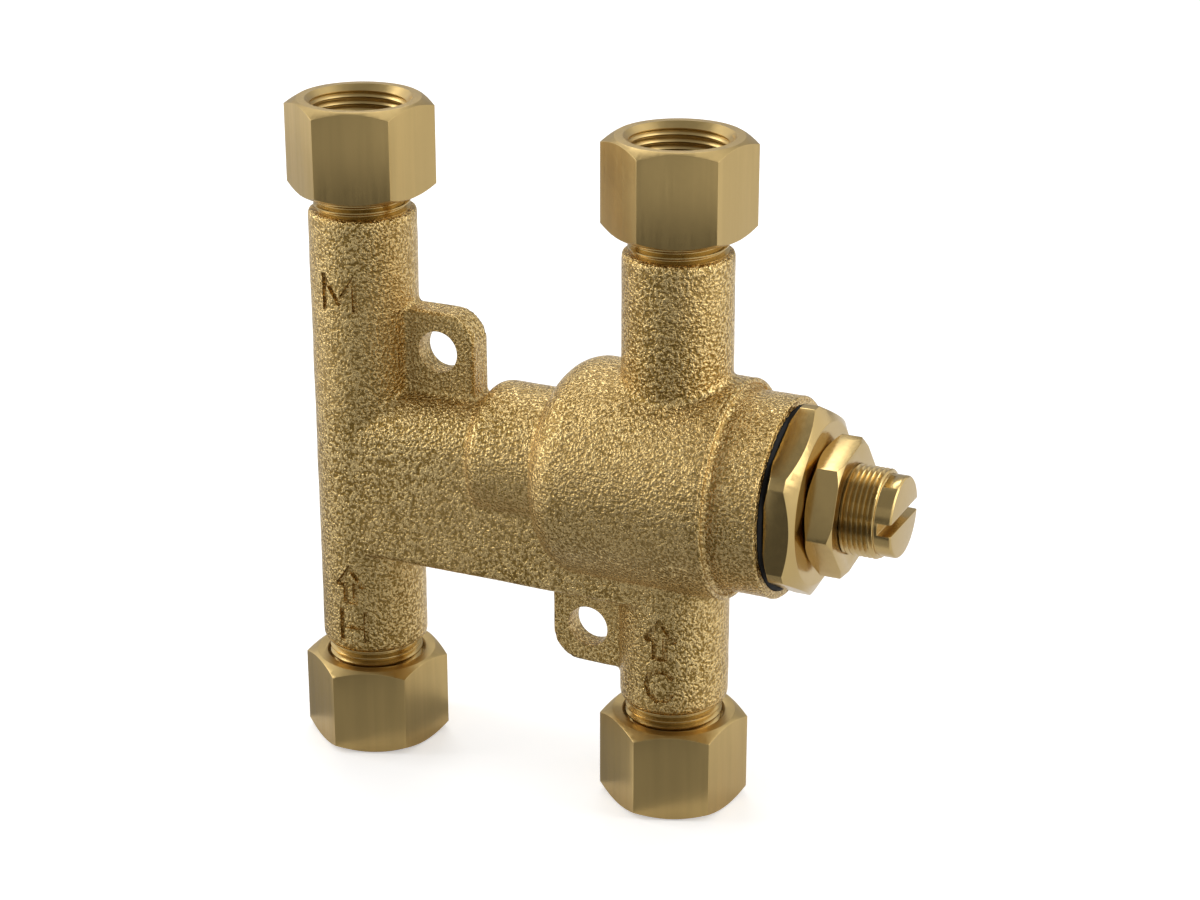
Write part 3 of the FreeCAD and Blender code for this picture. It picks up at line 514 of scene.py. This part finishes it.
def carve_mark(casting, strokes, low, high, settings):
    """Sink a mark's strokes to an even depth into the front of its column."""
    column_x = LEFT_X if low[0] < 0 else RIGHT_X
    low = (low[0] * MM, AXIS_Z + low[1] * MM)
    high = (high[0] * MM, AXIS_Z + high[1] * MM)
    mark = None
    for start, end in strokes:
        ends = [(low[0] + share[0] * (high[0] - low[0]), low[1] + share[1] * (high[1] - low[1]))
                for share in (start, end)]
        bar = stroke(ends[0], ends[1], settings.mark_width, -2 * COLUMN_R, -0.3 * COLUMN_R)
        mark = joined(mark, bar)
    core = cylinder("core", COLUMN_R - settings.mark_depth, low[1] - 2 * PAST,
                    high[1] + 2 * PAST, "z", (column_x, 0, 0))
    combine(mark, core, "DIFFERENCE")
    combine(casting, mark, "DIFFERENCE")


def bead(x, radius, size):
    """A rounded lip round the barrel's axis."""
    deselect()
    bpy.ops.mesh.primitive_torus_add(location=(x, 0, AXIS_Z), rotation=along("x"),
                                     major_segments=160, minor_segments=14,
                                     major_radius=radius - size, minor_radius=size)
    return placed("bead")


def ear_hole(side):
    """The tool for an ear's fixing hole, which widens at the back."""
    x, z = side * EAR_X, -side * EAR_Z
    hole = cylinder("hole", EAR_HOLE_R, -EAR_HOLE_REACH, EAR_HOLE_REACH, "y", (x, 0, z), 64)
    back = EAR_Y + EAR_HALF
    deselect()
    bpy.ops.mesh.primitive_cone_add(vertices=64, radius1=FLARE_IN_R, radius2=FLARE_OUT_R,
                                    depth=FLARE_DEPTH, location=(x, back - FLARE_SET_IN, z),
                                    rotation=along("y"))
    return hole, placed("flare")


def waterways():
    """One tool for the waterways, the fixing holes and the seats of the inner parts."""
    top, bottom = BODY_HIGH.z + PAST, BODY_LOW.z - PAST
    tool = None
    for x, low, high in ((LEFT_X, AXIS_Z - MIXED_BORE_BELOW, top),
                         (LEFT_X, bottom, AXIS_Z - HOT_BORE_BELOW), (RIGHT_X, bottom, top)):
        tool = joined(tool, cylinder("bore", PORT_BORE_R, low, high, "z", (x, 0, 0), 64))
    for x in (LEFT_X, RIGHT_X):
        tool = joined(tool, cylinder("pocket", CARTRIDGE_R, bottom, bottom + CARTRIDGE_DEPTH, "z",
                                     (x, 0, 0), 64))
    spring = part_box("return_spring")[0].x
    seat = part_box("shuttle")[0].x - SEAT_GAP
    land = seat + HOT_RING_END
    ring = seat + LAND_END
    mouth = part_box("bonnet_seal")[0].x - SEAL_ROOM
    for radius, start, end in ((MIX_BORE_R, spring - NEAR, seat + BORE_LAP),
                               (MIX_TAIL_R, spring - MIX_TAIL_LENGTH, spring + PAST),
                               (HOT_RING_R, seat, land), (LAND_R, land - BORE_LAP, ring),
                               (COLD_RING_R, ring - BORE_LAP, COLLAR_END + PAST),
                               (SEAL_POCKET_R, mouth, COLLAR_END + PAST)):
        tool = joined(tool, cylinder("bore", radius, start, end, "x", BARREL_AXIS))
    tool = joined(tool, cylinder("mixed", MIXED_DUCT_R, LEFT_X, 0, "x",
                                 (0, 0, AXIS_Z + MIXED_DUCT_ABOVE), 64))
    tool = joined(tool, cylinder("hot", HOT_DUCT_R, LEFT_X, seat + 2 * PAST, "x",
                                 (0, 0, AXIS_Z - HOT_DUCT_BELOW), 64))
    for side in (-1, 1):
        for part in ear_hole(side):
            tool = joined(tool, part)
    return tool


class VALVE_OT_casting(bpy.types.Operator):
    """Build the sand-cast body with its soft blends, port marks and bores"""

    bl_idname = "valve.casting"
    bl_label = "Casting"

    def execute(self, context):
        settings = context.scene.valve.casting
        casting = column_blank(LEFT_X)
        for part in (column_blank(RIGHT_X), arm_blank(), barrel_blank(), chamber_blank(),
                     ear_blank(1), ear_blank(-1), collar_blank()):
            combine(casting, part, "UNION")
        casting.name = "sand_casting"
        finish_with(casting, "REMESH", mode="VOXEL", voxel_size=settings.voxel, adaptivity=0.0)
        finish_with(casting, "SMOOTH", factor=0.5, iterations=settings.softness)
        waves = bpy.data.textures.new("casting_waves", "CLOUDS")
        waves.noise_scale = WAVE_SIZE
        waves.noise_depth = 2
        finish_with(casting, "DISPLACE", texture=waves, texture_coords="LOCAL",
                    strength=settings.unevenness, mid_level=0.5)
        for strokes, low, high in MARKS:
            carve_mark(casting, strokes, low, high, settings)
        finish_with(casting, "SMOOTH", factor=0.5, iterations=1)
        combine(casting, bead(CHAMBER_LIP_X, CHAMBER_LIP_R, CHAMBER_LIP), "UNION")
        combine(casting, bead(COLLAR_LIP_X, COLLAR_LIP_R, COLLAR_LIP), "UNION")
        combine(casting, waterways(), "DIFFERENCE")
        shade(casting, CAST_EDGE)
        hand_in(casting, "casing", "valve_body", finish_named("sand_cast_brass"))
        return {"FINISHED"}


# --- Threaded stubs and union nuts ---------------------------------------------------------------
STUB_ROOT = 33.0 * MM       # where a stub starts inside its column, from the barrel's axis
STUB_CREST_R = 7.144 * MM   # a thread of 9/16 inch
STUB_RIM = 0.6 * MM
NUT_EDGE = 0.16 * MM
NUT_BORE_R = 7.2 * MM
NUT_RING_R = NUT_BORE_R + 0.05 * MM
NUT_TAP_R = NUT_BORE_R + 0.2 * MM
NUT_RELIEF_R = NUT_BORE_R + 0.25 * MM
NUT_RELIEF = 1.35 * MM
NUT_MOUTH_R = NUT_BORE_R + 0.65 * MM
NUT_MOUTH = 1.2 * MM
NUT_THREAD_LAP = 0.05 * MM      # how far the thread's ring runs into the relief
NUT_THREAD_INSET = 0.2 * MM     # from the mouth's face to the thread's ring
WASHER_ROOM = 0.05 * MM         # between the washer and the thread's rings


class VALVE_OT_stubs(bpy.types.Operator):
    """Build the four threaded port stubs"""

    bl_idname = "valve.stubs"
    bl_label = "Port stubs"

    def execute(self, context):
        settings = context.scene.valve.threads
        tip = BODY_HIGH.z - AXIS_Z
        stub = threaded_rod("stub", STUB_CREST_R, settings.port_depth, settings.port_pitch,
                            STUB_ROOT, tip, settings.steps)
        blank = cylinder("blank", STUB_CREST_R, STUB_ROOT - PAST, tip, "z", (0, 0, 0))
        round_edges(blank, STUB_RIM, 1, lambda p: abs(p.z - tip) < NEAR)
        combine(stub, blank, "INTERSECT")
        bore = cylinder("bore", PORT_BORE_R, STUB_ROOT - PAST, tip + PAST, "z", (0, 0, 0), 64)
        combine(stub, bore, "DIFFERENCE")
        for name, way in PORTS.items():
            x = middle(name + "_nut").x
            piece = copy_of(stub, name + "_stub", (x, 0, AXIS_Z), way < 0)
            if way < 0:
                pocket = cylinder("pocket", CARTRIDGE_R, BODY_LOW.z - PAST,
                                  COLUMN_BOTTOM + 2 * PAST, "z", (x, 0, 0), 64)
                combine(piece, pocket, "DIFFERENCE")
            shade(piece, THREAD_EDGE)
            hand_in(piece, "casing", None, finish_named("turned_brass"))
        bpy.data.objects.remove(stub)
        return {"FINISHED"}


class VALVE_OT_nuts(bpy.types.Operator):
    """Build the four union nuts, with broken edges and real inner threads"""

    bl_idname = "valve.nuts"
    bl_label = "Union nuts"

    def execute(self, context):
        settings = context.scene.valve.threads
        low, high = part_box("mixed_outlet_nut")
        nut = softened_copy("mixed_outlet_nut", "nut", NUT_EDGE)
        nut.data.transform(Matrix.Translation((-LEFT_X, 0, -AXIS_Z)))
        washer_low, washer_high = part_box("mixed_outlet_washer")
        foot, mouth = low.z - AXIS_Z, high.z - AXIS_Z
        spans = ((foot + NUT_RELIEF - NUT_THREAD_LAP, washer_low.z - AXIS_Z - WASHER_ROOM),
                 (washer_high.z - AXIS_Z + WASHER_ROOM, mouth - NUT_THREAD_INSET))
        for start, end in spans:
            ring = cylinder("ring", NUT_RING_R, start, end, "z", (0, 0, 0))
            combine(nut, ring, "UNION")
            tap = threaded_rod("tap", NUT_TAP_R, settings.port_depth, settings.port_pitch,
                               start - PAST, end + PAST, settings.steps)
            combine(nut, tap, "DIFFERENCE")
        relief = cylinder("relief", NUT_RELIEF_R, foot - PAST, foot + NUT_RELIEF, "z", (0, 0, 0))
        combine(nut, relief, "DIFFERENCE")
        combine(nut, countersink("mouth", NUT_MOUTH_R, mouth, NUT_MOUTH), "DIFFERENCE")
        for name, way in PORTS.items():
            place = (middle(name + "_nut").x, 0, AXIS_Z)
            piece = copy_of(nut, name + "_union_nut", place, way < 0)
            shade(piece, TURNED_EDGE)
            hand_in(piece, name + "_nut", name + "_nut",
                    finish_named("hexagon_brass"))
        bpy.data.objects.remove(nut)
        return {"FINISHED"}


# --- Bonnet, lock nut and spindle ----------------------------------------------------------------
BONNET_EDGE = 0.18 * MM
LOCK_NUT_EDGE = 0.14 * MM
SPINDLE_EDGE = 0.08 * MM
SPINDLE_CREST_R = 6.46 * MM
SPINDLE_PLAIN_END = 2.5 * MM    # its plain tip, past the thread
GROOVE_R = 7.5 * MM


class VALVE_OT_spindle_end(bpy.types.Operator):
    """Build the bonnet, the lock nut and the threaded spindle with its slot"""

    bl_idname = "valve.spindle_end"
    bl_label = "Bonnet, lock nut and spindle"

    def execute(self, context):
        settings = context.scene.valve.threads
        bonnet = softened_copy("bonnet", "hexagon_bonnet", BONNET_EDGE)
        shade(bonnet, TURNED_EDGE)
        hand_in(bonnet, "casing", "bonnet", finish_named("turned_brass"))
        lock = softened_copy("lock_nut", "hexagon_lock_nut", LOCK_NUT_EDGE)
        shade(lock, TURNED_EDGE)
        hand_in(lock, "lock_nut", "lock_nut", finish_named("turned_brass"))
        spindle = softened_copy("spindle", "adjusting_spindle", SPINDLE_EDGE)
        thread_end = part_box("spindle")[1].x - SPINDLE_PLAIN_END
        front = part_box("lock_nut")[1].x
        groove = cylinder("groove", GROOVE_R, front - 2 * PAST, thread_end + 0.2 * MM, "z",
                          (0, 0, 0))
        screw = threaded_rod("screw", SPINDLE_CREST_R, settings.spindle_depth,
                             settings.spindle_pitch, front - 3 * PAST, thread_end + PAST,
                             settings.steps)
        combine(groove, screw, "DIFFERENCE")
        lie_down = Matrix.Rotation(math.pi / 2, 4, "Y")
        groove.data.transform(Matrix.Translation(BARREL_AXIS) @ lie_down)
        combine(spindle, groove, "DIFFERENCE")
        shade(spindle, TURNED_EDGE)
        hand_in(spindle, "spindle", "spindle", finish_named("turned_brass"))
        return {"FINISHED"}


class VALVE_OT_inner_parts(bpy.types.Operator):
    """Give the seals, springs, cartridges and thermostat their finishes"""

    bl_idname = "valve.inner_parts"
    bl_label = "Inner parts"

    def execute(self, context):
        finishes = {"cast_brass": "sand_cast_brass", "machined_brass": "turned_brass",
                    "black_rubber": "seal_rubber", "washer_rubber": "seal_rubber",
                    "spring_steel": "stainless_wire", "white_plastic": "acetal",
                    "copper": "element_copper"}
        for part in frame["record"]["subparts"]:
            node = frame["nodes"][part["node"]]
            node.data.materials.clear()
            node.data.materials.append(finish_named(finishes[part["material_slot"]]))
        return {"FINISHED"}


# --- Finishes ------------------------------------------------------------------------------------
class Signal:
    """A node's output, with Python arithmetic that adds Math nodes."""

    def __init__(self, finish, socket):
        self.finish = finish
        self.socket = socket

    def maths(self, operation, first, second):
        return self.finish.node("ShaderNodeMath", {"operation": operation}, {0: first, 1: second})

    def __add__(self, other):
        return self.maths("ADD", self, other)

    __radd__ = __add__

    def __mul__(self, other):
        return self.maths("MULTIPLY", self, other)

    __rmul__ = __mul__


class Finish:
    """A material that is built node by node."""

    def __init__(self, name):
        self.material = bpy.data.materials.new(name)
        self.material.use_nodes = True
        self.tree = self.material.node_tree
        self.shader = self.tree.nodes["Principled BSDF"]

    def node(self, kind, settings, inputs, output=0):
        """Add a node, set it up, feed it with values or signals, and return one of its outputs."""
        added = self.tree.nodes.new(kind)
        for key, value in settings.items():
            setattr(added, key, value)
        for key, value in inputs.items():
            self.feed(added.inputs[key], value)
        return Signal(self, added.outputs[output])

    def feed(self, socket, value):
        if isinstance(value, Signal):
            self.tree.links.new(value.socket, socket)
        else:
            socket.default_value = value

    def set(self, **inputs):
        """Feed the shader's own sockets; an underscore stands for a space."""
        for key, value in inputs.items():
            self.feed(self.shader.inputs[key.replace("_", " ")], value)

    def place(self, scale):
        """The point on the piece, stretched."""
        point = self.node("ShaderNodeTexCoord", {}, {}, "Object")
        return self.node("ShaderNodeMapping", {}, {"Vector": point, "Scale": scale})

    def noise(self, scale, detail, roughness, stretch=(1, 1, 1)):
        """A cloudy pattern through the piece, from 0 to 1."""
        return self.node("ShaderNodeTexNoise", {}, {"Vector": self.place(stretch), "Scale": scale,
                                                    "Detail": detail, "Roughness": roughness})

    def between(self, signal, low, high, to_low=0.0, to_high=1.0):
        """A signal's range, smoothly stretched to another."""
        return self.node("ShaderNodeMapRange", {"interpolation_type": "SMOOTHSTEP"},
                         {"Value": signal, "From Min": low, "From Max": high, "To Min": to_low,
                          "To Max": to_high})

    def blend(self, share, first, second):
        """One colour changing into another."""
        return self.node("ShaderNodeMix", {"data_type": "RGBA"},
                         {0: share, 6: first, 7: second}, 2)

    def bump(self, height, distance, strength):
        """Small relief that only shading sees."""
        return self.node("ShaderNodeBump", {}, {"Strength": strength, "Distance": distance,
                                                "Height": height})


def rgba(colour, share=1.0):
    """A colour, darker or lighter by a share, with its alpha."""
    return (*[value * share for value in colour], 1.0)


def sand_cast_brass(colours):
    """Sand-cast brass: fine grain with painted glints on its crests, pits darkened partly by oxide
    and partly by painted shade, slow changes of tone.
    """
    finish = Finish("sand_cast_brass")
    grain = finish.noise(2350.0, 2.0, 0.55)
    coarse = finish.noise(800.0, 1.0, 0.5)
    tone = finish.noise(55.0, 2.0, 0.5)
    height = finish.between(grain, 0.28, 0.72) + coarse * 0.3
    # The crest colour is a painted glint; the pit colour is partly oxide and partly painted shade.
    crest_glint_share = finish.between(height, 0.35, 0.95)
    skin = finish.blend(crest_glint_share, rgba(colours.cast_pits_oxide_and_shade), rgba(colours.cast))
    browner = [c * s for c, s in zip(colours.cast, (0.86, 0.80, 0.72))]
    skin = finish.blend(finish.between(tone, 0.35, 0.65, 0.0, 0.35), skin, rgba(browner))
    finish.set(Base_Color=skin, Metallic=1.0,
               Roughness=finish.between(grain, 0.3, 0.7, 0.32, 0.19),
               Normal=finish.bump(height, 0.13 * MM, 1.0))
    return finish.material


def hexagon_brass(colours):
    """Satin brass of a hexagon bar, with faint lines along the nut."""
    finish = Finish("hexagon_brass")
    lines = finish.noise(2600.0, 2.0, 0.6, (1, 1, 0.02))
    specks = finish.noise(900.0, 2.0, 0.5)
    streaks = finish.noise(420.0, 2.0, 0.6, (1, 1, 0.06))
    skin = finish.blend(finish.between(streaks, 0.35, 0.65), rgba(colours.turned, 0.92),
                        rgba(colours.turned))
    finish.set(Base_Color=skin, Metallic=1.0,
               Roughness=finish.between(lines + specks * 0.4, 0.5, 0.9, 0.30, 0.38),
               Normal=finish.bump(lines + specks * 0.4, 0.003 * MM, 0.6))
    return finish.material


def turned_brass(colours):
    """Turned brass: bright, with a fine uneven polish."""
    finish = Finish("turned_brass")
    specks = finish.noise(1300.0, 3.0, 0.55)
    patches = finish.noise(120.0, 2.0, 0.5)
    skin = finish.blend(finish.between(patches, 0.35, 0.65), rgba(colours.turned, 0.95),
                        rgba(colours.turned))
    finish.set(Base_Color=skin, Metallic=1.0,
               Roughness=finish.between(specks, 0.35, 0.65, 0.2, 0.25),
               Normal=finish.bump(specks, 0.0004 * MM, 0.5))
    return finish.material


def seal_rubber(colours):
    """Matt black rubber with a little dust."""
    finish = Finish("seal_rubber")
    dust = finish.noise(900.0, 2.0, 0.5)
    skin = finish.blend(finish.between(dust, 0.4, 0.7), rgba(colours.rubber),
                        rgba(colours.rubber, 2))
    finish.set(Base_Color=skin, Roughness=finish.between(dust, 0.3, 0.7, 0.6, 0.75),
               Specular_IOR_Level=0.25, Normal=finish.bump(dust, 0.02 * MM, 0.5))
    return finish.material


def stainless_wire(colours):
    """Drawn stainless spring wire."""
    finish = Finish("stainless_wire")
    lines = finish.noise(1500.0, 2.0, 0.5)
    skin = finish.blend(finish.between(lines, 0.35, 0.65), rgba(colours.steel, 0.85),
                        rgba(colours.steel))
    finish.set(Base_Color=skin, Metallic=1.0,
               Roughness=finish.between(lines, 0.3, 0.7, 0.22, 0.34),
               Normal=finish.bump(lines, 0.008 * MM, 0.5))
    return finish.material


def acetal(colours):
    """Moulded white plastic."""
    finish = Finish("acetal")
    cloud = finish.noise(400.0, 2.0, 0.5)
    skin = finish.blend(finish.between(cloud, 0.35, 0.65), rgba(colours.plastic, 0.94),
                        rgba(colours.plastic))
    finish.set(Base_Color=skin, Roughness=finish.between(cloud, 0.3, 0.7, 0.38, 0.48),
               Normal=finish.bump(cloud, 0.01 * MM, 0.4))
    return finish.material


def element_copper(colours):
    """Dull copper, stained in patches."""
    finish = Finish("element_copper")
    patches = finish.noise(260.0, 3.0, 0.55)
    skin = finish.blend(finish.between(patches, 0.38, 0.66), rgba(colours.copper, 0.7),
                        rgba(colours.copper))
    finish.set(Base_Color=skin, Metallic=1.0,
               Roughness=finish.between(patches, 0.3, 0.7, 0.24, 0.4),
               Normal=finish.bump(patches, 0.01 * MM, 0.5))
    return finish.material


FINISHES = {build.__name__: build
            for build in (sand_cast_brass, hexagon_brass, turned_brass, seal_rubber, stainless_wire,
                          acetal, element_copper)}


def finish_named(name):
    """The material of that name, built when it is first asked for."""
    made = bpy.data.materials.get(name)
    return made if made else FINISHES[name](bpy.context.scene.valve.finishes)


# --- Stage ---------------------------------------------------------------------------------------
FLAT = (0, 0, 0)
UPRIGHT = (math.pi / 2, 0, 0)
WHITE = (1, 1, 1, 1)
BLACK = (0, 0, 0, 1)
FLOOR_GLOW = 0.42
ROOM_LIGHT = 0.6
CARD_Z = FLOOR_Z + 0.4 * MM     # for flags that lie just above the floor

# Each flag: its name, middle, size, tilt and tone (0 is black, 1 is white)
FLAGS = (
    ("floor_flag", (-0.02, -0.47, FLOOR_Z + 0.2 * MM), (0.28, 0.9), FLAT, 0.42),
    # Painted shadow: near_left_flag, near_right_flag, left_flag and between_flag darken the floor
    # round the valve's footprint, where its own shadow falls, for reflections only.
    ("near_left_flag", (-0.027, -0.032, CARD_Z), (0.042, 0.04), FLAT, 0.3),
    ("near_right_flag", (0.035, -0.032, CARD_Z), (0.03, 0.04), FLAT, 0.28),
    ("left_flag", (-0.0635, 0.015, CARD_Z), (0.053, 0.05), FLAT, 0.28),
    ("between_flag", (0.0005, 0, CARD_Z), (0.027, 0.02), FLAT, 0.26),
    # Painted light: under_card and back_card glow to brighten, in reflections only, floor that lies
    # in the valve's shadow.
    ("under_card", (0.007, -0.0155, CARD_Z), (0.025, 0.009), FLAT, 1.0),
    ("back_card", (0.001, 0.0205, CARD_Z), (0.026, 0.019), FLAT, 0.7),
    ("side_flag", (-0.27, 0.08, CARD_Z), (0.34, 0.3), FLAT, 0.58),
    ("eye_flag", (0.08, -0.15, FLOOR_Z + 0.6 * MM), (0.24, 0.2), FLAT, 0.08),
    ("front_flag", (0.05, -0.95, 0.3), (1.7, 0.7), UPRIGHT, 0.38),
    ("low_flag", (-0.3, -0.93, 0.09), (0.9, 0.27), UPRIGHT, 0.12),
    ("top_flag", (-0.1, -0.4, 0.65), (1.2, 1.05), FLAT, 0.29),
    ("back_flag", (-0.55, 1.0, 0.5), (1.9, 1.1), UPRIGHT, 0.42),
)

# Each lamp: its name, place, size and power in watts
LAMPS = (
    ("back_light", (-0.28, 0.45, 0.6), (0.36, 0.26), 1.0),
    ("right_light", (0.75, 0.15, 0.35), (0.5, 0.6), 2.0),
    ("left_light", (-0.7, -0.2, 0.4), (0.4, 0.6), 2.3),
)


def lamp(name, place, size, power):
    """A soft rectangular lamp that points at the valve."""
    deselect()
    bpy.ops.object.light_add(type="AREA", location=place)
    made = bpy.context.object
    made.name = name
    made.data.shape = "RECTANGLE"
    made.data.size, made.data.size_y = size
    made.data.energy = power
    made.rotation_euler = (-Vector(place)).to_track_quat("-Z", "Y").to_euler()


def flag(name, place, size, tilt, tone):
    """A card of an even tone that only reflections see, to give bright metal its tones."""
    deselect()
    bpy.ops.mesh.primitive_plane_add(size=1, location=place, rotation=tilt)
    bpy.ops.transform.resize(value=(size[0], size[1], 1), orient_type="LOCAL")
    card = placed(name)
    cloth = Finish(name + "_cloth")
    cloth.set(Base_Color=BLACK, Roughness=1.0, Emission_Color=(tone, tone, tone, 1),
              Emission_Strength=1.0)
    card.data.materials.append(cloth.material)
    for kind in ("camera", "diffuse", "transmission", "volume_scatter", "shadow"):
        setattr(card, "visible_" + kind, False)


def white_for_rays(tree, strength_else):
    """1 for camera, glossy and transmission rays, and another value for the rest."""
    paths = tree.nodes.new("ShaderNodeLightPath")
    total = None
    for output in ("Is Camera Ray", "Is Glossy Ray", "Is Transmission Ray"):
        if total is None:
            total = paths.outputs[output]
            continue
        highest = tree.nodes.new("ShaderNodeMath")
        highest.operation = "MAXIMUM"
        tree.links.new(total, highest.inputs[0])
        tree.links.new(paths.outputs[output], highest.inputs[1])
        total = highest.outputs[0]
    spread = tree.nodes.new("ShaderNodeMapRange")
    tree.links.new(total, spread.inputs["Value"])
    spread.inputs["To Min"].default_value = strength_else
    spread.inputs["To Max"].default_value = 1.0
    return spread.outputs[0]


class VALVE_OT_stage(bpy.types.Operator):
    """Build the white floor, the soft lights and the camera"""

    bl_idname = "valve.stage"
    bl_label = "Stage"

    def execute(self, context):
        settings = context.scene.valve.stage
        scene = context.scene
        scene.view_settings.view_transform = "Standard"
        deselect()
        bpy.ops.mesh.primitive_plane_add(size=settings.floor, location=(0, 0, FLOOR_Z))
        floor = bpy.context.object
        floor.name = "floor"
        white = Finish("floor_white")
        white.set(Base_Color=(0.86, 0.86, 0.86, 1), Roughness=0.9, Emission_Color=WHITE)
        seen = white.node("ShaderNodeLightPath", {}, {}, "Is Camera Ray")
        white.set(Emission_Strength=seen * FLOOR_GLOW)
        floor.data.materials.append(white.material)
        for row in FLAGS:
            flag(*row)
        world = scene.world or bpy.data.worlds.new("studio")
        scene.world = world
        world.use_nodes = True
        tree = world.node_tree
        background = tree.nodes["Background"]
        background.inputs["Color"].default_value = WHITE
        tree.links.new(white_for_rays(tree, ROOM_LIGHT), background.inputs["Strength"])
        for row in LAMPS:
            lamp(*row)
        eye = bpy.data.objects.new("camera", bpy.data.cameras.new("camera"))
        scene.collection.objects.link(eye)
        eye.data.sensor_width = 36.0
        eye.data.lens = settings.lens
        eye.data.clip_start = 0.01
        eye.location = settings.camera
        eye.rotation_euler = (math.pi / 2 - settings.dip, 0, settings.azimuth)
        scene.camera = eye
        return {"FINISHED"}


class VALVE_PT_panel(bpy.types.Panel):
    """Buttons that build the valve's looks"""

    bl_idname = "VALVE_PT_panel"
    bl_label = "Mixing valve"
    bl_space_type = "VIEW_3D"
    bl_region_type = "UI"
    bl_category = "Valve"

    def draw(self, context):
        settings = context.scene.valve
        for operator in OPERATORS:
            self.layout.operator(operator.bl_idname)
        for group in (settings.casting, settings.threads, settings.finishes, settings.stage):
            box = self.layout.box()
            for key in group.__annotations__:
                box.prop(group, key)


OPERATORS = (VALVE_OT_inner_parts, VALVE_OT_casting, VALVE_OT_stubs, VALVE_OT_nuts,
             VALVE_OT_spindle_end, VALVE_OT_stage)
CLASSES = (CastingSettings, ThreadSettings, FinishSettings, StageSettings, ValveSettings,
           *OPERATORS, VALVE_PT_panel)


def register():
    for kind in CLASSES:
        bpy.utils.register_class(kind)
    bpy.types.Scene.valve = bpy.props.PointerProperty(type=ValveSettings)


def unregister():
    del bpy.types.Scene.valve
    for kind in reversed(CLASSES):
        bpy.utils.unregister_class(kind)


def main():
    register()
    bpy.ops.valve.inner_parts()
    bpy.ops.valve.casting()
    bpy.ops.valve.stubs()
    bpy.ops.valve.nuts()
    bpy.ops.valve.spindle_end()
    bpy.ops.valve.stage()


if __name__ == "__main__":
    main()
